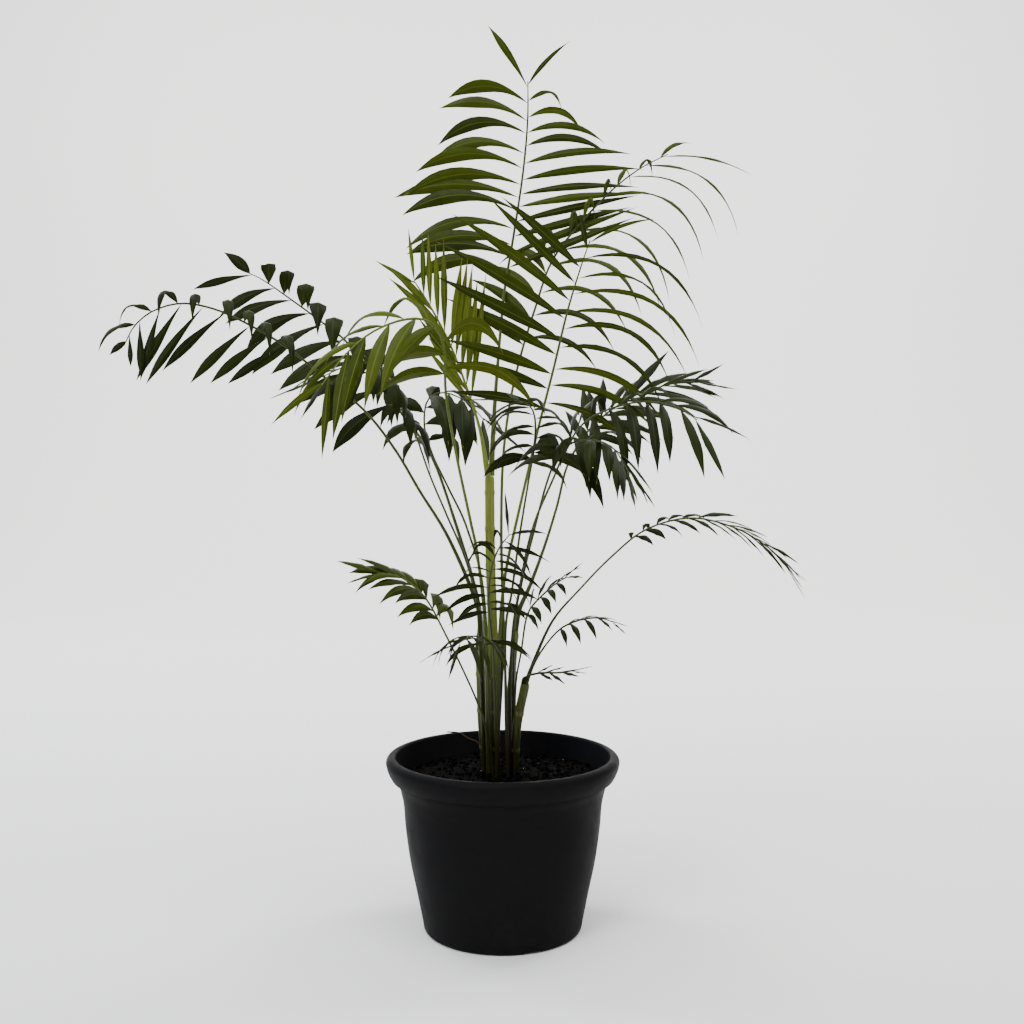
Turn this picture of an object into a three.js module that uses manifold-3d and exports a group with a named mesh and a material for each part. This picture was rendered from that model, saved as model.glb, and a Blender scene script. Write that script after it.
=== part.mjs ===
// A potted feather palm: a clump of canes and arching fronds in a round nursery pot.
// Millimetres, +Z up, the origin on the ground at the middle of the pot's underside.
// The viewer stands on the -Y side, so +X is to the right and +Y is away.

import * as THREE from 'three';
import { mergeVertices } from 'three/addons/utils/BufferGeometryUtils.js';
import Module from 'manifold-3d';

const wasm = await Module();
wasm.setup();

// ---- Driving dimensions -------------------------------------------------------------------

const POT_HEIGHT = 206;
const POT_WALL = 2.5;
const POT_SIDES = 28;
const BASE_RADIUS = 93;
const NECK_RADIUS = 124; // outside, just under the rolled rim
const NECK_HEIGHT = 172;
const RIM_RADIUS = 140;
const MOUTH_RADIUS = 128.5; // inside, at the top
const FLOOR_THICKNESS = 3;
const DRAIN_HOLES = 6;
const DRAIN_RADIUS = 5;
const DRAIN_CIRCLE = 62;
const NOTCHES = 4;
const NOTCH_WIDTH = 24;
const NOTCH_HEIGHT = 2.6;
const FIRST_NOTCH = THREE.MathUtils.degToRad(-68);

const SOIL_TOP = 184; // at the middle of the mound
const SOIL_DROP = 5; // from the middle of the mound to the wall
const PLANTING_DEPTH = 30; // how far a stem stands in the soil
const GAP = 0.3; // between pieces that touch

const STALK_SIDES = 4;
const CANE_SIDES = 6;
const STALK_STAND_OFF = 1.2; // how far the rows' chords may leave the curve of a bare stalk
const RIB_STAND_OFF = 0.4; // and of a midrib, which its leaflets have to meet
const RING_SPACING = 44;
const RING_SWELL = 1.14;
const BLADE_THICKNESS = 1.2; // on the midrib of a leaflet
const BLADE_FOLD = 0.06; // how much higher the midrib stands, as a share of the width
const ARCHED = [[0, 0.12], [0.34, 0.95], [0.7, 0.72]]; // stations of a long leaflet: place, share of width
const PADDLE = [[0, 0.12], [0.3, 0.42], [0.64, 1]]; // of one that is widest towards its end
const SHORT = [[0, 0.12], [0.5, 0.95]]; // and of a short one
const CLEARANCE = 0.8; // added round a leaflet when it is tested against other fronds
const TIP_SWEEP = 60; // degrees that the last pair of a frond leans forward
const TIP_DROOP = 0.4; // the share of the frond's droop that it keeps
const TIP_WIDTH = 0.65; // and the share of its width
const BENDS = [0, 9, -9, 18, -18, 28, -28, 40, -40]; // degrees that a crossing leaflet gives way by

// ---- Materials ----------------------------------------------------------------------------

function finish(color, roughness) {
  return new THREE.MeshStandardMaterial({ color, roughness, metalness: 0 });
}

const POT_PLASTIC = finish('#1b1d1f', 0.5);
const POTTING_MIX = finish('#221a14', 0.95);
const CANE_SKIN = finish('#5d6b35', 0.6);
const DARK_LEAF = finish('#2f4416', 0.45);
const OLIVE_LEAF = finish('#48601b', 0.45);
const YOUNG_LEAF = finish('#7a8f30', 0.45);
const DRY_STALK = finish('#7a6248', 0.85);

// ---- Canes, from the soil up to the level top that the stalks grow from -------------------

const CANES = [
  { name: 'cane_main', path: [[-10, 2], [-12, 2, 344], [-15, 3, 440], [-16, 3, 540]], foot: 6.6, top: 6 },
  { name: 'cane_left', path: [[-20, 14], [-25, 12, 240], [-28, 12, 330]], foot: 5.4, top: 5.6 },
  { name: 'cane_right', path: [[14, -6], [17, -7, 241], [27, -8, 292]], foot: 5.2, top: 5.6 },
  { name: 'cane_back', path: [[9, 14], [9, 18, 265], [15, 24, 350]], foot: 5.2, top: 4.4 },
];

// An old stalk has dried and leans back from the clump onto the rim of the pot.
const DRIED = {
  path: [[-27, 40], [-29, 60, 203], [-45, 85, 206], [-57, 101, 209], [-73, 112, 208]],
  radius: 1.4,
};

// ---- Fronds -------------------------------------------------------------------------------
// on: the cane that carries the frond; the others stand in the soil.
// spine: points of the stalk and midrib, the first of them its foot, with no height.
// bare: share of the spine with no leaflets. face: where the upper side looks.
// length, sweep, rise and droop are given at the first leaflet, the middle and the tip:
// sweep leans a leaflet towards the tip, rise lifts it off the midrib's plane (degrees),
// and droop (0 to 1) is how far its end turns to the ground. left and right hold what
// one side does: blade where it isn't the frond's own, and tip where its last leaflet is
// shorter by that share. play makes the leaflets of a frond more unlike one another.

const FRONDS = [
  {
    name: 'frond_tall', on: 'cane_main', blade: ARCHED, leaf: OLIVE_LEAF,
    seed: 11, pairs: 13, bare: 0.51, stalk: 2.1,
    spine: [[-14, 5], [-11, 10, 608], [-6, 26, 682], [1, 48, 764], [11, 62, 828], [22, 74, 900],
      [28, 78, 951], [31, 78, 995], [31, 74, 1037]],
    face: [0, -1, 0.25],
    left: { width: 20, length: [145, 172, 108], sweep: [18, 16, 44],
      rise: [4, 4, 0], droop: [0.5, 0.52, 0.5], blade: PADDLE, tip: 0.8 },
    right: { width: 11, length: [175, 150, 86], sweep: [30, 20, 42],
      rise: [4, 4, 0], droop: [0, 0.25, 0.95], tip: 0.85 },
  },
  {
    name: 'frond_right_tall', blade: ARCHED, leaf: OLIVE_LEAF, seed: 12, pairs: 10, bare: 0.7, stalk: 2.3,
    spine: [[-7, -12], [-4, -15, 345], [3, -20, 423], [18, -26, 494], [40, -34, 589], [59, -45, 664],
      [75, -56, 731], [90, -68, 781], [100, -80, 810]],
    face: [0, -1, 0.1],
    left: { width: 14, length: [105, 180, 110], sweep: [8, 22, 34],
      rise: [6, 6, 0], droop: [0.2, 0.14, 0.1], tip: 0.4 },
    right: { width: 9, length: [140, 215, 215], sweep: [12, 26, 40],
      rise: [8, 8, 4], droop: [0.55, 0.75, 0.8], tip: 0.4 },
  },
  {
    name: 'frond_right_arch', blade: ARCHED, leaf: OLIVE_LEAF, seed: 13, pairs: 11, bare: 0.63, stalk: 2.2,
    spine: [[-9, 17], [0, 15, 341], [-2, 18, 462], [0, 22, 559], [9, 28, 632], [22, 36, 689],
      [39, 44, 745], [60, 51, 805], [94, 58, 852], [136, 64, 897], [172, 71, 926], [208, 79, 946]],
    face: [-0.2, -1, 0.5],
    left: { width: 13, length: [105, 120, 70], sweep: [30, 62, 60],
      rise: [10, 14, 6], droop: [0.3, 0.8, 0.95] },
    right: { width: 9, length: [120, 240, 185], sweep: [24, 42, 46],
      rise: [4, 8, 4], droop: [0.6, 0.82, 0.9], tip: 0.65 },
  },
  {
    name: 'frond_young', on: 'cane_main', blade: SHORT, leaf: YOUNG_LEAF,
    seed: 14, pairs: 10, bare: 0.36, stalk: 1.9,
    spine: [[-18, 1], [-27, -18, 595], [-41, -34, 641], [-61, -48, 694], [-84, -60, 738],
      [-102, -66, 766]],
    face: [0, -1, 0.2],
    left: { width: 9, length: [90, 90, 50], sweep: [70, 74, 76], rise: [6, 8, 2], droop: [0, 0.05, 0.1] },
    right: { width: 9, length: [145, 110, 60], sweep: [68, 62, 62], rise: [6, 8, 2], droop: [0, 0, 0.05] },
  },
  {
    name: 'frond_front', blade: ARCHED, leaf: YOUNG_LEAF, seed: 15, pairs: 8, bare: 0.7, stalk: 2.3,
    spine: [[-17, -11], [-20, -14, 345], [-29, -24, 441], [-38, -34, 489], [-53, -62, 565],
      [-63, -98, 632], [-64, -130, 686], [-78, -150, 709], [-104, -165, 710], [-137, -180, 695],
      [-164, -192, 670], [-187, -200, 638]],
    face: [0.3, -1, 0.6],
    left: { width: 16, length: [110, 128, 88], sweep: [25, 50, 66],
      rise: [10, 10, 0], droop: [0.45, 0.55, 0.5] },
    right: { width: 15, length: [155, 125, 85], sweep: [5, 38, 62],
      rise: [0, -20, -20], droop: [0.6, 0.8, 0.65] },
  },
  {
    name: 'frond_far_left', on: 'cane_left', blade: ARCHED, leaf: DARK_LEAF,
    seed: 16, pairs: 9, bare: 0.67, stalk: 2.0,
    spine: [[-30, 10], [-30, 8, 379], [-64, 1, 463], [-100, -5, 523], [-128, -11, 571],
      [-163, -20, 617], [-210, -29, 657], [-255, -38, 693], [-297, -47, 718], [-333, -56, 734],
      [-369, -62, 740], [-400, -68, 731], [-421, -72, 713], [-432, -75, 690]],
    face: [0, -1, 0.15],
    left: { width: 12, length: [85, 112, 50], sweep: [24, 28, 50],
      rise: [0, 0, 0], droop: [0.2, 0.28, 0.5], blade: PADDLE, tip: 0.7 },
    right: { width: 14, length: [120, 115, 58], sweep: [10, 20, 50],
      rise: [62, 62, 20], droop: [0.98, 0.98, 0.9], tip: 0.45 },
  },
  {
    name: 'frond_left_back', on: 'cane_left', blade: ARCHED, leaf: DARK_LEAF,
    seed: 17, pairs: 10, bare: 0.53, stalk: 2.1, play: 1.5,
    spine: [[-26, 14], [-31, 21, 389], [-60, 42, 485], [-91, 66, 566], [-131, 91, 620],
      [-167, 112, 665], [-205, 136, 713], [-240, 150, 741], [-285, 164, 774], [-324, 175, 801],
      [-347, 178, 812]],
    face: [0.1, -1, 0],
    left: { width: 22, length: [110, 125, 75], sweep: [25, 40, 55],
      rise: [0, 0, 0], droop: [0.6, 0.5, 0.4], blade: PADDLE },
    right: { width: 32, length: [150, 160, 90], sweep: [2, 6, 40],
      rise: [64, 64, 0], droop: [0.98, 0.98, 0.9], tip: 0.5 },
  },
  {
    name: 'frond_mid_left', blade: SHORT, leaf: DARK_LEAF,
    seed: 18, pairs: 9, bare: 0.72, stalk: 2.0, play: 2,
    spine: [[-22, -4], [-30, -4, 380], [-44, -10, 440], [-66, -22, 494], [-85, -40, 542],
      [-101, -62, 592], [-116, -86, 630], [-131, -104, 658], [-151, -120, 668], [-172, -134, 662],
      [-196, -142, 650]],
    face: [0.2, -0.3, 1],
    left: { width: 17, length: [90, 100, 70], sweep: [20, 30, 60], rise: [0, 0, 0], droop: [0.8, 0.85, 0.5] },
    right: { width: 17, length: [90, 100, 70], sweep: [20, 30, 60],
      rise: [12, 12, 0], droop: [0.8, 0.8, 0.4] },
  },
  {
    name: 'frond_mid_back', blade: SHORT, leaf: DARK_LEAF,
    seed: 19, pairs: 8, bare: 0.74, stalk: 2.0, play: 1.6,
    spine: [[-16, 24], [-23, 34, 387], [-44, 50, 472], [-69, 70, 524], [-90, 86, 566], [-101, 94, 604],
      [-96, 98, 638], [-73, 94, 645], [-44, 82, 631], [-24, 70, 609]],
    face: [0, -0.3, 1],
    left: { width: 23, length: [85, 115, 75], sweep: [35, 30, 40],
      rise: [10, 0, 0], droop: [0.9, 0.85, 0.6] },
    right: { width: 24, length: [110, 125, 80], sweep: [15, 20, 40],
      rise: [10, 0, 0], droop: [0.85, 0.85, 0.6] },
  },
  {
    name: 'frond_right_back', on: 'cane_back', blade: SHORT, leaf: DARK_LEAF,
    seed: 20, pairs: 13, bare: 0.58, stalk: 2.0, play: 1.5,
    spine: [[15, 24], [20, 31, 376], [33, 38, 404], [52, 56, 453], [68, 74, 502], [82, 92, 553],
      [109, 114, 596], [143, 132, 626], [180, 146, 647], [223, 157, 660], [255, 164, 664]],
    face: [0, -0.6, 1],
    left: { width: 14, length: [80, 95, 58], sweep: [45, 66, 78],
      rise: [14, 8, 2], droop: [0.35, 0.3, 0.25] },
    right: { width: 14, length: [90, 100, 60], sweep: [40, 60, 76],
      rise: [4, 0, 0], droop: [0.5, 0.45, 0.3] },
  },
  {
    name: 'frond_right_low', blade: SHORT, leaf: DARK_LEAF,
    seed: 21, pairs: 10, bare: 0.68, stalk: 2.0, play: 1.8,
    spine: [[13, 4], [13, 8, 342], [23, 3, 421], [37, -10, 482], [60, -26, 538], [79, -42, 582],
      [101, -61, 608], [140, -80, 623], [172, -96, 625], [199, -106, 617], [217, -111, 604]],
    face: [0, -0.6, 1],
    left: { width: 16, length: [95, 105, 75], sweep: [30, 38, 58],
      rise: [15, 10, 0], droop: [0.6, 0.7, 0.6] },
    right: { width: 17, length: [105, 120, 80], sweep: [10, 22, 48],
      rise: [0, 0, 0], droop: [0.85, 0.9, 0.7] },
  },
  {
    name: 'frond_right_front', blade: SHORT, leaf: DARK_LEAF,
    seed: 22, pairs: 9, bare: 0.76, stalk: 2.0, play: 1.8,
    spine: [[7, -15], [11, -13, 345], [23, -22, 417], [37, -42, 478], [52, -70, 537], [67, -96, 571],
      [92, -120, 582], [120, -140, 574], [138, -156, 544]],
    face: [0, 0.2, 1],
    left: { width: 16, length: [85, 90, 55], sweep: [10, 26, 56], rise: [5, 0, 0], droop: [0.7, 0.7, 0.45] },
    right: { width: 17, length: [90, 95, 60], sweep: [10, 26, 56], rise: [5, 0, 0], droop: [0.7, 0.8, 0.5] },
  },
  {
    name: 'frond_centre_front', blade: SHORT, leaf: DARK_LEAF,
    seed: 23, pairs: 8, bare: 0.78, stalk: 1.9, play: 1.8,
    spine: [[6, -22], [3, -25, 347], [11, -34, 406], [20, -52, 473], [29, -80, 531], [36, -108, 576],
      [36, -134, 606], [28, -158, 620], [14, -178, 623]],
    face: [0, 0.2, 1],
    left: { width: 15, length: [70, 90, 55], sweep: [10, 25, 50], rise: [0, 0, 0], droop: [0.7, 0.85, 0.6] },
    right: { width: 15, length: [70, 90, 60], sweep: [10, 25, 50], rise: [5, 0, 0], droop: [0.7, 0.85, 0.6] },
  },
  {
    name: 'low_frond_left', blade: SHORT, leaf: OLIVE_LEAF,
    seed: 24, pairs: 8, bare: 0.7, stalk: 1.5, play: 1.5,
    spine: [[-15, -17], [-20, -20, 242], [-31, -22, 275], [-48, -30, 315], [-67, -40, 356],
      [-86, -53, 395], [-104, -63, 416], [-123, -70, 428], [-142, -76, 431]],
    face: [0.2, -0.5, 1],
    left: { width: 12, length: [70, 76, 52], sweep: [60, 68, 74], rise: [0, 0, 0], droop: [0.5, 0.5, 0.4] },
    right: { width: 19, length: [118, 72, 54], sweep: [0, 64, 72],
      rise: [10, 5, 0], droop: [0.98, 0.5, 0.4] },
  },
  {
    name: 'low_frond_front', blade: SHORT, leaf: DARK_LEAF,
    seed: 25, pairs: 7, bare: 0.78, stalk: 1.5, play: 2,
    spine: [[-11, -24], [-15, -29, 241], [-17, -38, 290], [-19, -50, 333], [-24, -66, 353],
      [-35, -84, 360], [-50, -98, 353]],
    face: [-0.2, -0.4, 1],
    left: { width: 9, length: [70, 85, 65], sweep: [0, 15, 40], rise: [8, 5, 0], droop: [0.65, 0.85, 0.7] },
    right: { width: 9, length: [60, 72, 55], sweep: [0, 15, 40], rise: [8, 5, 0], droop: [0.75, 0.9, 0.8] },
  },
  {
    name: 'low_frond_centre', blade: SHORT, leaf: DARK_LEAF,
    seed: 26, pairs: 11, bare: 0.68, stalk: 1.5, play: 3,
    spine: [[-7, -28], [-9, -33, 276], [-11, -38, 336], [-16, -50, 390], [-14, -62, 427],
      [-5, -76, 457], [9, -88, 476]],
    face: [0, -1, 0.5],
    left: { width: 8, length: [60, 78, 60], sweep: [10, 25, 45], rise: [25, 12, 5], droop: [0.5, 0.75, 0.6] },
    right: { width: 8, length: [65, 80, 65], sweep: [10, 25, 45], rise: [25, 12, 5], droop: [0.5, 0.7, 0.5] },
  },
  {
    name: 'low_frond_right', blade: SHORT, leaf: DARK_LEAF, seed: 27, pairs: 6, bare: 0.74, stalk: 1.4,
    spine: [[14, -18], [15, -23, 287], [22, -31, 335], [29, -40, 379], [44, -48, 400], [61, -56, 416],
      [75, -62, 425]],
    face: [-0.2, -0.4, 1],
    left: { width: 9, length: [48, 52, 32], sweep: [25, 35, 55], rise: [10, 5, 0], droop: [0.3, 0.4, 0.4] },
    right: { width: 8, length: [40, 42, 30], sweep: [25, 35, 55], rise: [0, 0, 0], droop: [0.6, 0.6, 0.5] },
  },
  {
    name: 'frond_right_long', on: 'cane_right', blade: SHORT, leaf: DARK_LEAF,
    seed: 28, pairs: 13, bare: 0.5, stalk: 1.4,
    spine: [[28.5, -5], [34, -4, 310], [59, -6, 366], [93, -8, 406], [129, -8, 443], [171, -6, 476],
      [225, -4, 490], [279, -2, 478], [321, 0, 453], [342, 3, 430]],
    face: [0.2, -0.3, 1],
    left: { width: 9, length: [36, 60, 50], sweep: [45, 74, 80],
      rise: [30, 10, 3], droop: [0.75, 0.35, 0.2] },
    right: { width: 9, length: [34, 58, 48], sweep: [45, 72, 78],
      rise: [0, 0, 0], droop: [0.65, 0.45, 0.25] },
  },
  {
    name: 'low_frond_right_arch', on: 'cane_right', blade: SHORT, leaf: DARK_LEAF,
    seed: 29, pairs: 5, bare: 0.5, stalk: 1.3,
    spine: [[28, -11.5], [35, -14, 313], [50, -20, 339], [70, -28, 362], [95, -36, 373],
      [114, -42, 375], [128, -46, 371]],
    face: [0, -0.2, 1],
    left: { width: 7, length: [30, 34, 26], sweep: [30, 50, 68], rise: [0, 0, 0], droop: [0.4, 0.4, 0.2] },
    right: { width: 7, length: [38, 42, 26], sweep: [25, 40, 65],
      rise: [-10, -10, 0], droop: [0.7, 0.7, 0.3] },
  },
  {
    name: 'low_frond_right_tiny', on: 'cane_right', blade: SHORT, leaf: DARK_LEAF,
    seed: 30, pairs: 4, bare: 0.35, stalk: 1.3,
    spine: [[24, -8.5], [27, -17, 302], [44, -20, 307], [66, -24, 308], [82, -30, 311]],
    face: [0, -0.2, 1],
    left: { width: 7, length: [26, 32, 28], sweep: [58, 66, 74], rise: [10, 5, 0], droop: [0.1, 0.1, 0.1] },
    right: { width: 7, length: [24, 30, 28], sweep: [50, 62, 72],
      rise: [-10, -5, 0], droop: [0.3, 0.2, 0.1] },
  },
];

// ---- Solids -------------------------------------------------------------------------------

// A closed three.js geometry as a solid that can be cut and joined.
function solidOf(geometry) {
  const bare = geometry.clone();
  bare.deleteAttribute('normal');
  bare.deleteAttribute('uv');
  const merged = mergeVertices(bare, 1e-4);
  return new wasm.Manifold(new wasm.Mesh({
    numProp: 3,
    vertProperties: new Float32Array(merged.attributes.position.array),
    triVerts: new Uint32Array(merged.index.array),
  }));
}

function geometryOf(solid) {
  const mesh = solid.getMesh();
  const geometry = new THREE.BufferGeometry();
  geometry.setAttribute('position', new THREE.BufferAttribute(new Float32Array(mesh.vertProperties), 3));
  geometry.setIndex(new THREE.BufferAttribute(new Uint32Array(mesh.triVerts), 1));
  geometry.computeVertexNormals();
  return geometry;
}

// A skin over rings of equally many points, each ring running the same way round. The
// diagonals on the two faces of a thin blade lie over each other, so a wave never makes
// them cross. It ends in a flat cap, or in the single point tip.
function loft(rings, tip) {
  const sides = rings[0].length;
  const points = rings.flat();
  const index = [];
  for (let row = 0; row + 1 < rings.length; row += 1) {
    for (let side = 0; side < sides; side += 1) {
      const a = row * sides + side;
      const b = row * sides + (side + 1) % sides;
      if (side % 2 === 0) index.push(a, b, b + sides, a, b + sides, a + sides);
      else index.push(a, b, a + sides, b, b + sides, a + sides);
    }
  }
  for (let side = 1; side + 1 < sides; side += 1) index.push(0, side + 1, side);
  const last = (rings.length - 1) * sides;
  if (tip) {
    points.push(tip);
    for (let side = 0; side < sides; side += 1) {
      index.push(last + side, last + (side + 1) % sides, points.length - 1);
    }
  } else {
    for (let side = 1; side + 1 < sides; side += 1) index.push(last, last + side, last + side + 1);
  }
  const geometry = new THREE.BufferGeometry().setFromPoints(points);
  geometry.setIndex(index);
  return geometry;
}

// Random numbers from -1 to 1, the same on every run.
function sequence(seed) {
  let state = seed * 7919 + 104729;
  return () => {
    state = (state * 1664525 + 1013904223) % 4294967296;
    return state / 2147483648 - 1;
  };
}

// A value given at the start, the middle and the end, read at u from 0 to 1.
function between([first, middle, last], u) {
  return u < 0.5 ? first + (middle - first) * 2 * u : middle + (last - middle) * (2 * u - 1);
}

// ---- Stalks -------------------------------------------------------------------------------

// A curve through a path whose first point is its foot, without a height. A stem goes straight
// down into the soil below it, and a stalk on a cane starts just above the cane's top.
function spineCurve([[x, y], ...rest], caneName) {
  const cane = CANES.find(({ name }) => name === caneName);
  const feet = cane ? [cane.path[cane.path.length - 1][2] + GAP] : [SOIL_TOP - PLANTING_DEPTH, SOIL_TOP + 2];
  const points = [...feet.map((z) => [x, y, z]), ...rest].map((point) => new THREE.Vector3(...point));
  return new THREE.CatmullRomCurve3(points, false, 'catmullrom', 0.5);
}

// Directions at one place of a spine: along it, out of its upper face, and to its right.
function frameAt(curve, u, face) {
  const along = curve.getTangentAt(u).normalize();
  const up = face.clone().addScaledVector(along, -face.dot(along)).normalize();
  const right = new THREE.Vector3().crossVectors(along, up).normalize();
  return { along, up, right };
}

function ring(centre, one, other, sides, radius) {
  const points = [];
  for (let side = 0; side < sides; side += 1) {
    const turn = (2 * Math.PI * side) / sides;
    points.push(centre.clone().addScaledVector(one, radius * Math.cos(turn))
      .addScaledVector(other, radius * Math.sin(turn)));
  }
  return points;
}

// Places along a curve for the rows of a rod: both ends of the planted part, then a row
// wherever the last chord would stand off the curve by more than a little.
function rowPlaces(curve, planted, bare) {
  const length = curve.getLength();
  const soilShare = planted ? (PLANTING_DEPTH + 2) / length : 0;
  const places = planted ? [0, soilShare] : [0];
  let last = soilShare;
  for (let step = 1; step < 120; step += 1) {
    const u = soilShare + ((1 - soilShare) * step) / 120;
    const turn = curve.getTangentAt(u).angleTo(curve.getTangentAt(last));
    const standOff = (turn * (u - last) * length) / 8;
    if (standOff > (u < bare ? STALK_STAND_OFF : RIB_STAND_OFF)) {
      places.push(u);
      last = u;
    }
  }
  if (1 - last < 0.02) places.pop();
  return [...places, 1];
}

// A round rod along a curve. radiusAt gives the radius at a share of its length. The foot is
// level, to fit a plain upright hole or the level top of a cane.
function rod(curve, places, sides, radiusAt, levelTop = false) {
  const spread = new THREE.Vector3(0, 1, 0);
  const rings = places.map((u) => {
    const centre = curve.getPointAt(u);
    const level = u === 0 || centre.z < SOIL_TOP + 3 || (levelTop && u === 1);
    const along = level ? new THREE.Vector3(0, 0, 1) : curve.getTangentAt(u);
    spread.addScaledVector(along, -spread.dot(along)).normalize();
    const other = new THREE.Vector3().crossVectors(along, spread);
    return ring(centre, spread, other, sides, radiusAt(u));
  });
  return loft(rings);
}

// ---- Pot and soil ------------------------------------------------------------------------

// The outside of the wall bellies out from the foot and flares again under the rim.
function potWall(offset) {
  const points = [[95, 6], [103, 45], [111, 83], [116.5, 122], [119, 151], [NECK_RADIUS, NECK_HEIGHT]]
    .map(([radius, height]) => new THREE.Vector2(radius - offset, height));
  return new THREE.SplineCurve(points).getPoints(4);
}

// A lathe turns about +Y, so it is stood up onto +Z.
function turned(profile, sides) {
  return new THREE.LatheGeometry(profile, sides).rotateX(Math.PI / 2);
}

function potSolid() {
  const outside = [new THREE.Vector2(0, 0), new THREE.Vector2(BASE_RADIUS, 0), ...potWall(0)];
  const channel = [[127.5, 190], [129.5, 199.5], [136.5, 199], [130.5, 181]]; // under the rolled rim
  const skirt = [[132.6, 180], [137.4, 189], [RIM_RADIUS, 198], [139, 203.5], [136, POT_HEIGHT]];
  const mouth = [[131, POT_HEIGHT], [MOUTH_RADIUS, 204], [126, 195]];
  const lip = [...channel, ...skirt, ...mouth].map(([radius, height]) => new THREE.Vector2(radius, height));
  const inside = potWall(POT_WALL).reverse();
  inside.push(new THREE.Vector2(BASE_RADIUS - POT_WALL, FLOOR_THICKNESS));
  inside.push(new THREE.Vector2(0, FLOOR_THICKNESS));
  let pot = solidOf(turned([...outside, ...lip, ...inside], POT_SIDES));
  for (let hole = 0; hole < DRAIN_HOLES; hole += 1) {
    const turn = (2 * Math.PI * (hole + 0.5)) / DRAIN_HOLES;
    const drill = new THREE.CylinderGeometry(DRAIN_RADIUS, DRAIN_RADIUS, 12, 10).rotateX(Math.PI / 2);
    drill.translate(DRAIN_CIRCLE * Math.cos(turn), DRAIN_CIRCLE * Math.sin(turn), 0);
    pot = pot.subtract(solidOf(drill));
  }
  for (let notch = 0; notch < NOTCHES; notch += 1) {
    const cutter = new THREE.BoxGeometry(12, NOTCH_WIDTH, 2 * NOTCH_HEIGHT);
    cutter.translate(BASE_RADIUS, 0, 0).rotateZ(FIRST_NOTCH + (notch * 2 * Math.PI) / NOTCHES);
    pot = pot.subtract(solidOf(cutter));
  }
  return pot;
}

// The potting mix fills the pot to a low mound, with a plain hole for each stem.
function soilSolid(stems) {
  const edge = potWall(POT_WALL + GAP).filter((point) => point.y < SOIL_TOP - SOIL_DROP - 8);
  const rim = edge[edge.length - 1];
  const side = [new THREE.Vector2(BASE_RADIUS - POT_WALL - GAP, FLOOR_THICKNESS + GAP), ...edge];
  const top = [new THREE.Vector2(rim.x + 0.6, SOIL_TOP - SOIL_DROP), new THREE.Vector2(70, SOIL_TOP - 2),
    new THREE.Vector2(0, SOIL_TOP)];
  const profile = [new THREE.Vector2(0, FLOOR_THICKNESS + GAP), ...side, ...top];
  let soil = solidOf(turned(profile, POT_SIDES));
  for (const { foot, radius, sides } of stems) {
    const north = new THREE.Vector3(0, 1, 0);
    const west = new THREE.Vector3(-1, 0, 0);
    const bottom = new THREE.Vector3(foot.x, foot.y, foot.z - GAP);
    const mouth = new THREE.Vector3(foot.x, foot.y, SOIL_TOP + 10);
    const wide = radius + GAP / Math.cos(Math.PI / sides);
    const hole = loft([ring(bottom, north, west, sides, wide), ring(mouth, north, west, sides, wide)]);
    soil = soil.subtract(solidOf(hole));
  }
  return soil;
}

// ---- Canes --------------------------------------------------------------------------------

// A cane is ringed where old leaves have fallen, and each ring stands out a little.
function caneSolid(cane) {
  const curve = spineCurve(cane.path);
  const length = curve.getLength();
  const rings = Math.floor((length - PLANTING_DEPTH) / RING_SPACING);
  const places = [0, (PLANTING_DEPTH + 2) / length];
  const swollen = new Set();
  for (let k = 1; k <= rings; k += 1) {
    const u = (PLANTING_DEPTH + (k - 0.35) * RING_SPACING) / length;
    places.push(u - 3.5 / length, u, u + 3.5 / length);
    swollen.add(u);
  }
  places.push(1);
  const radiusAt = (u) => {
    const soilShare = PLANTING_DEPTH / length;
    const plain = cane.foot + (cane.top - cane.foot) * Math.max(0, (u - soilShare) / (1 - soilShare));
    return swollen.has(u) ? plain * RING_SWELL : plain;
  };
  const geometry = rod(curve, places, CANE_SIDES, radiusAt, true);
  return { solid: solidOf(geometry), foot: curve.getPointAt(0), radius: cane.foot, sides: CANE_SIDES };
}

// ---- Fronds -------------------------------------------------------------------------------

function stalkRadius(frond, u) {
  const sheath = 1 + 0.35 * Math.max(0, 1 - Math.max(0, u - 0.1) / 0.2);
  return Math.max(1.3, frond.stalk * sheath * (1 - 0.5 * Math.max(0, u - 0.1)));
}

function stalkOf(frond) {
  const curve = spineCurve(frond.spine, frond.on);
  const face = new THREE.Vector3(...frond.face);
  const planted = !frond.on;
  const radiusAt = (u) => stalkRadius(frond, u);
  const solid = solidOf(rod(curve, rowPlaces(curve, planted, frond.bare), STALK_SIDES, radiusAt));
  return { curve, face, planted, solid, foot: curve.getPointAt(0), radius: radiusAt(0), sides: STALK_SIDES };
}

function driedStalk() {
  const curve = spineCurve(DRIED.path);
  const solid = solidOf(rod(curve, rowPlaces(curve, true, 1), STALK_SIDES, () => DRIED.radius));
  return { solid, foot: curve.getPointAt(0), radius: DRIED.radius, sides: STALK_SIDES };
}

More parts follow.
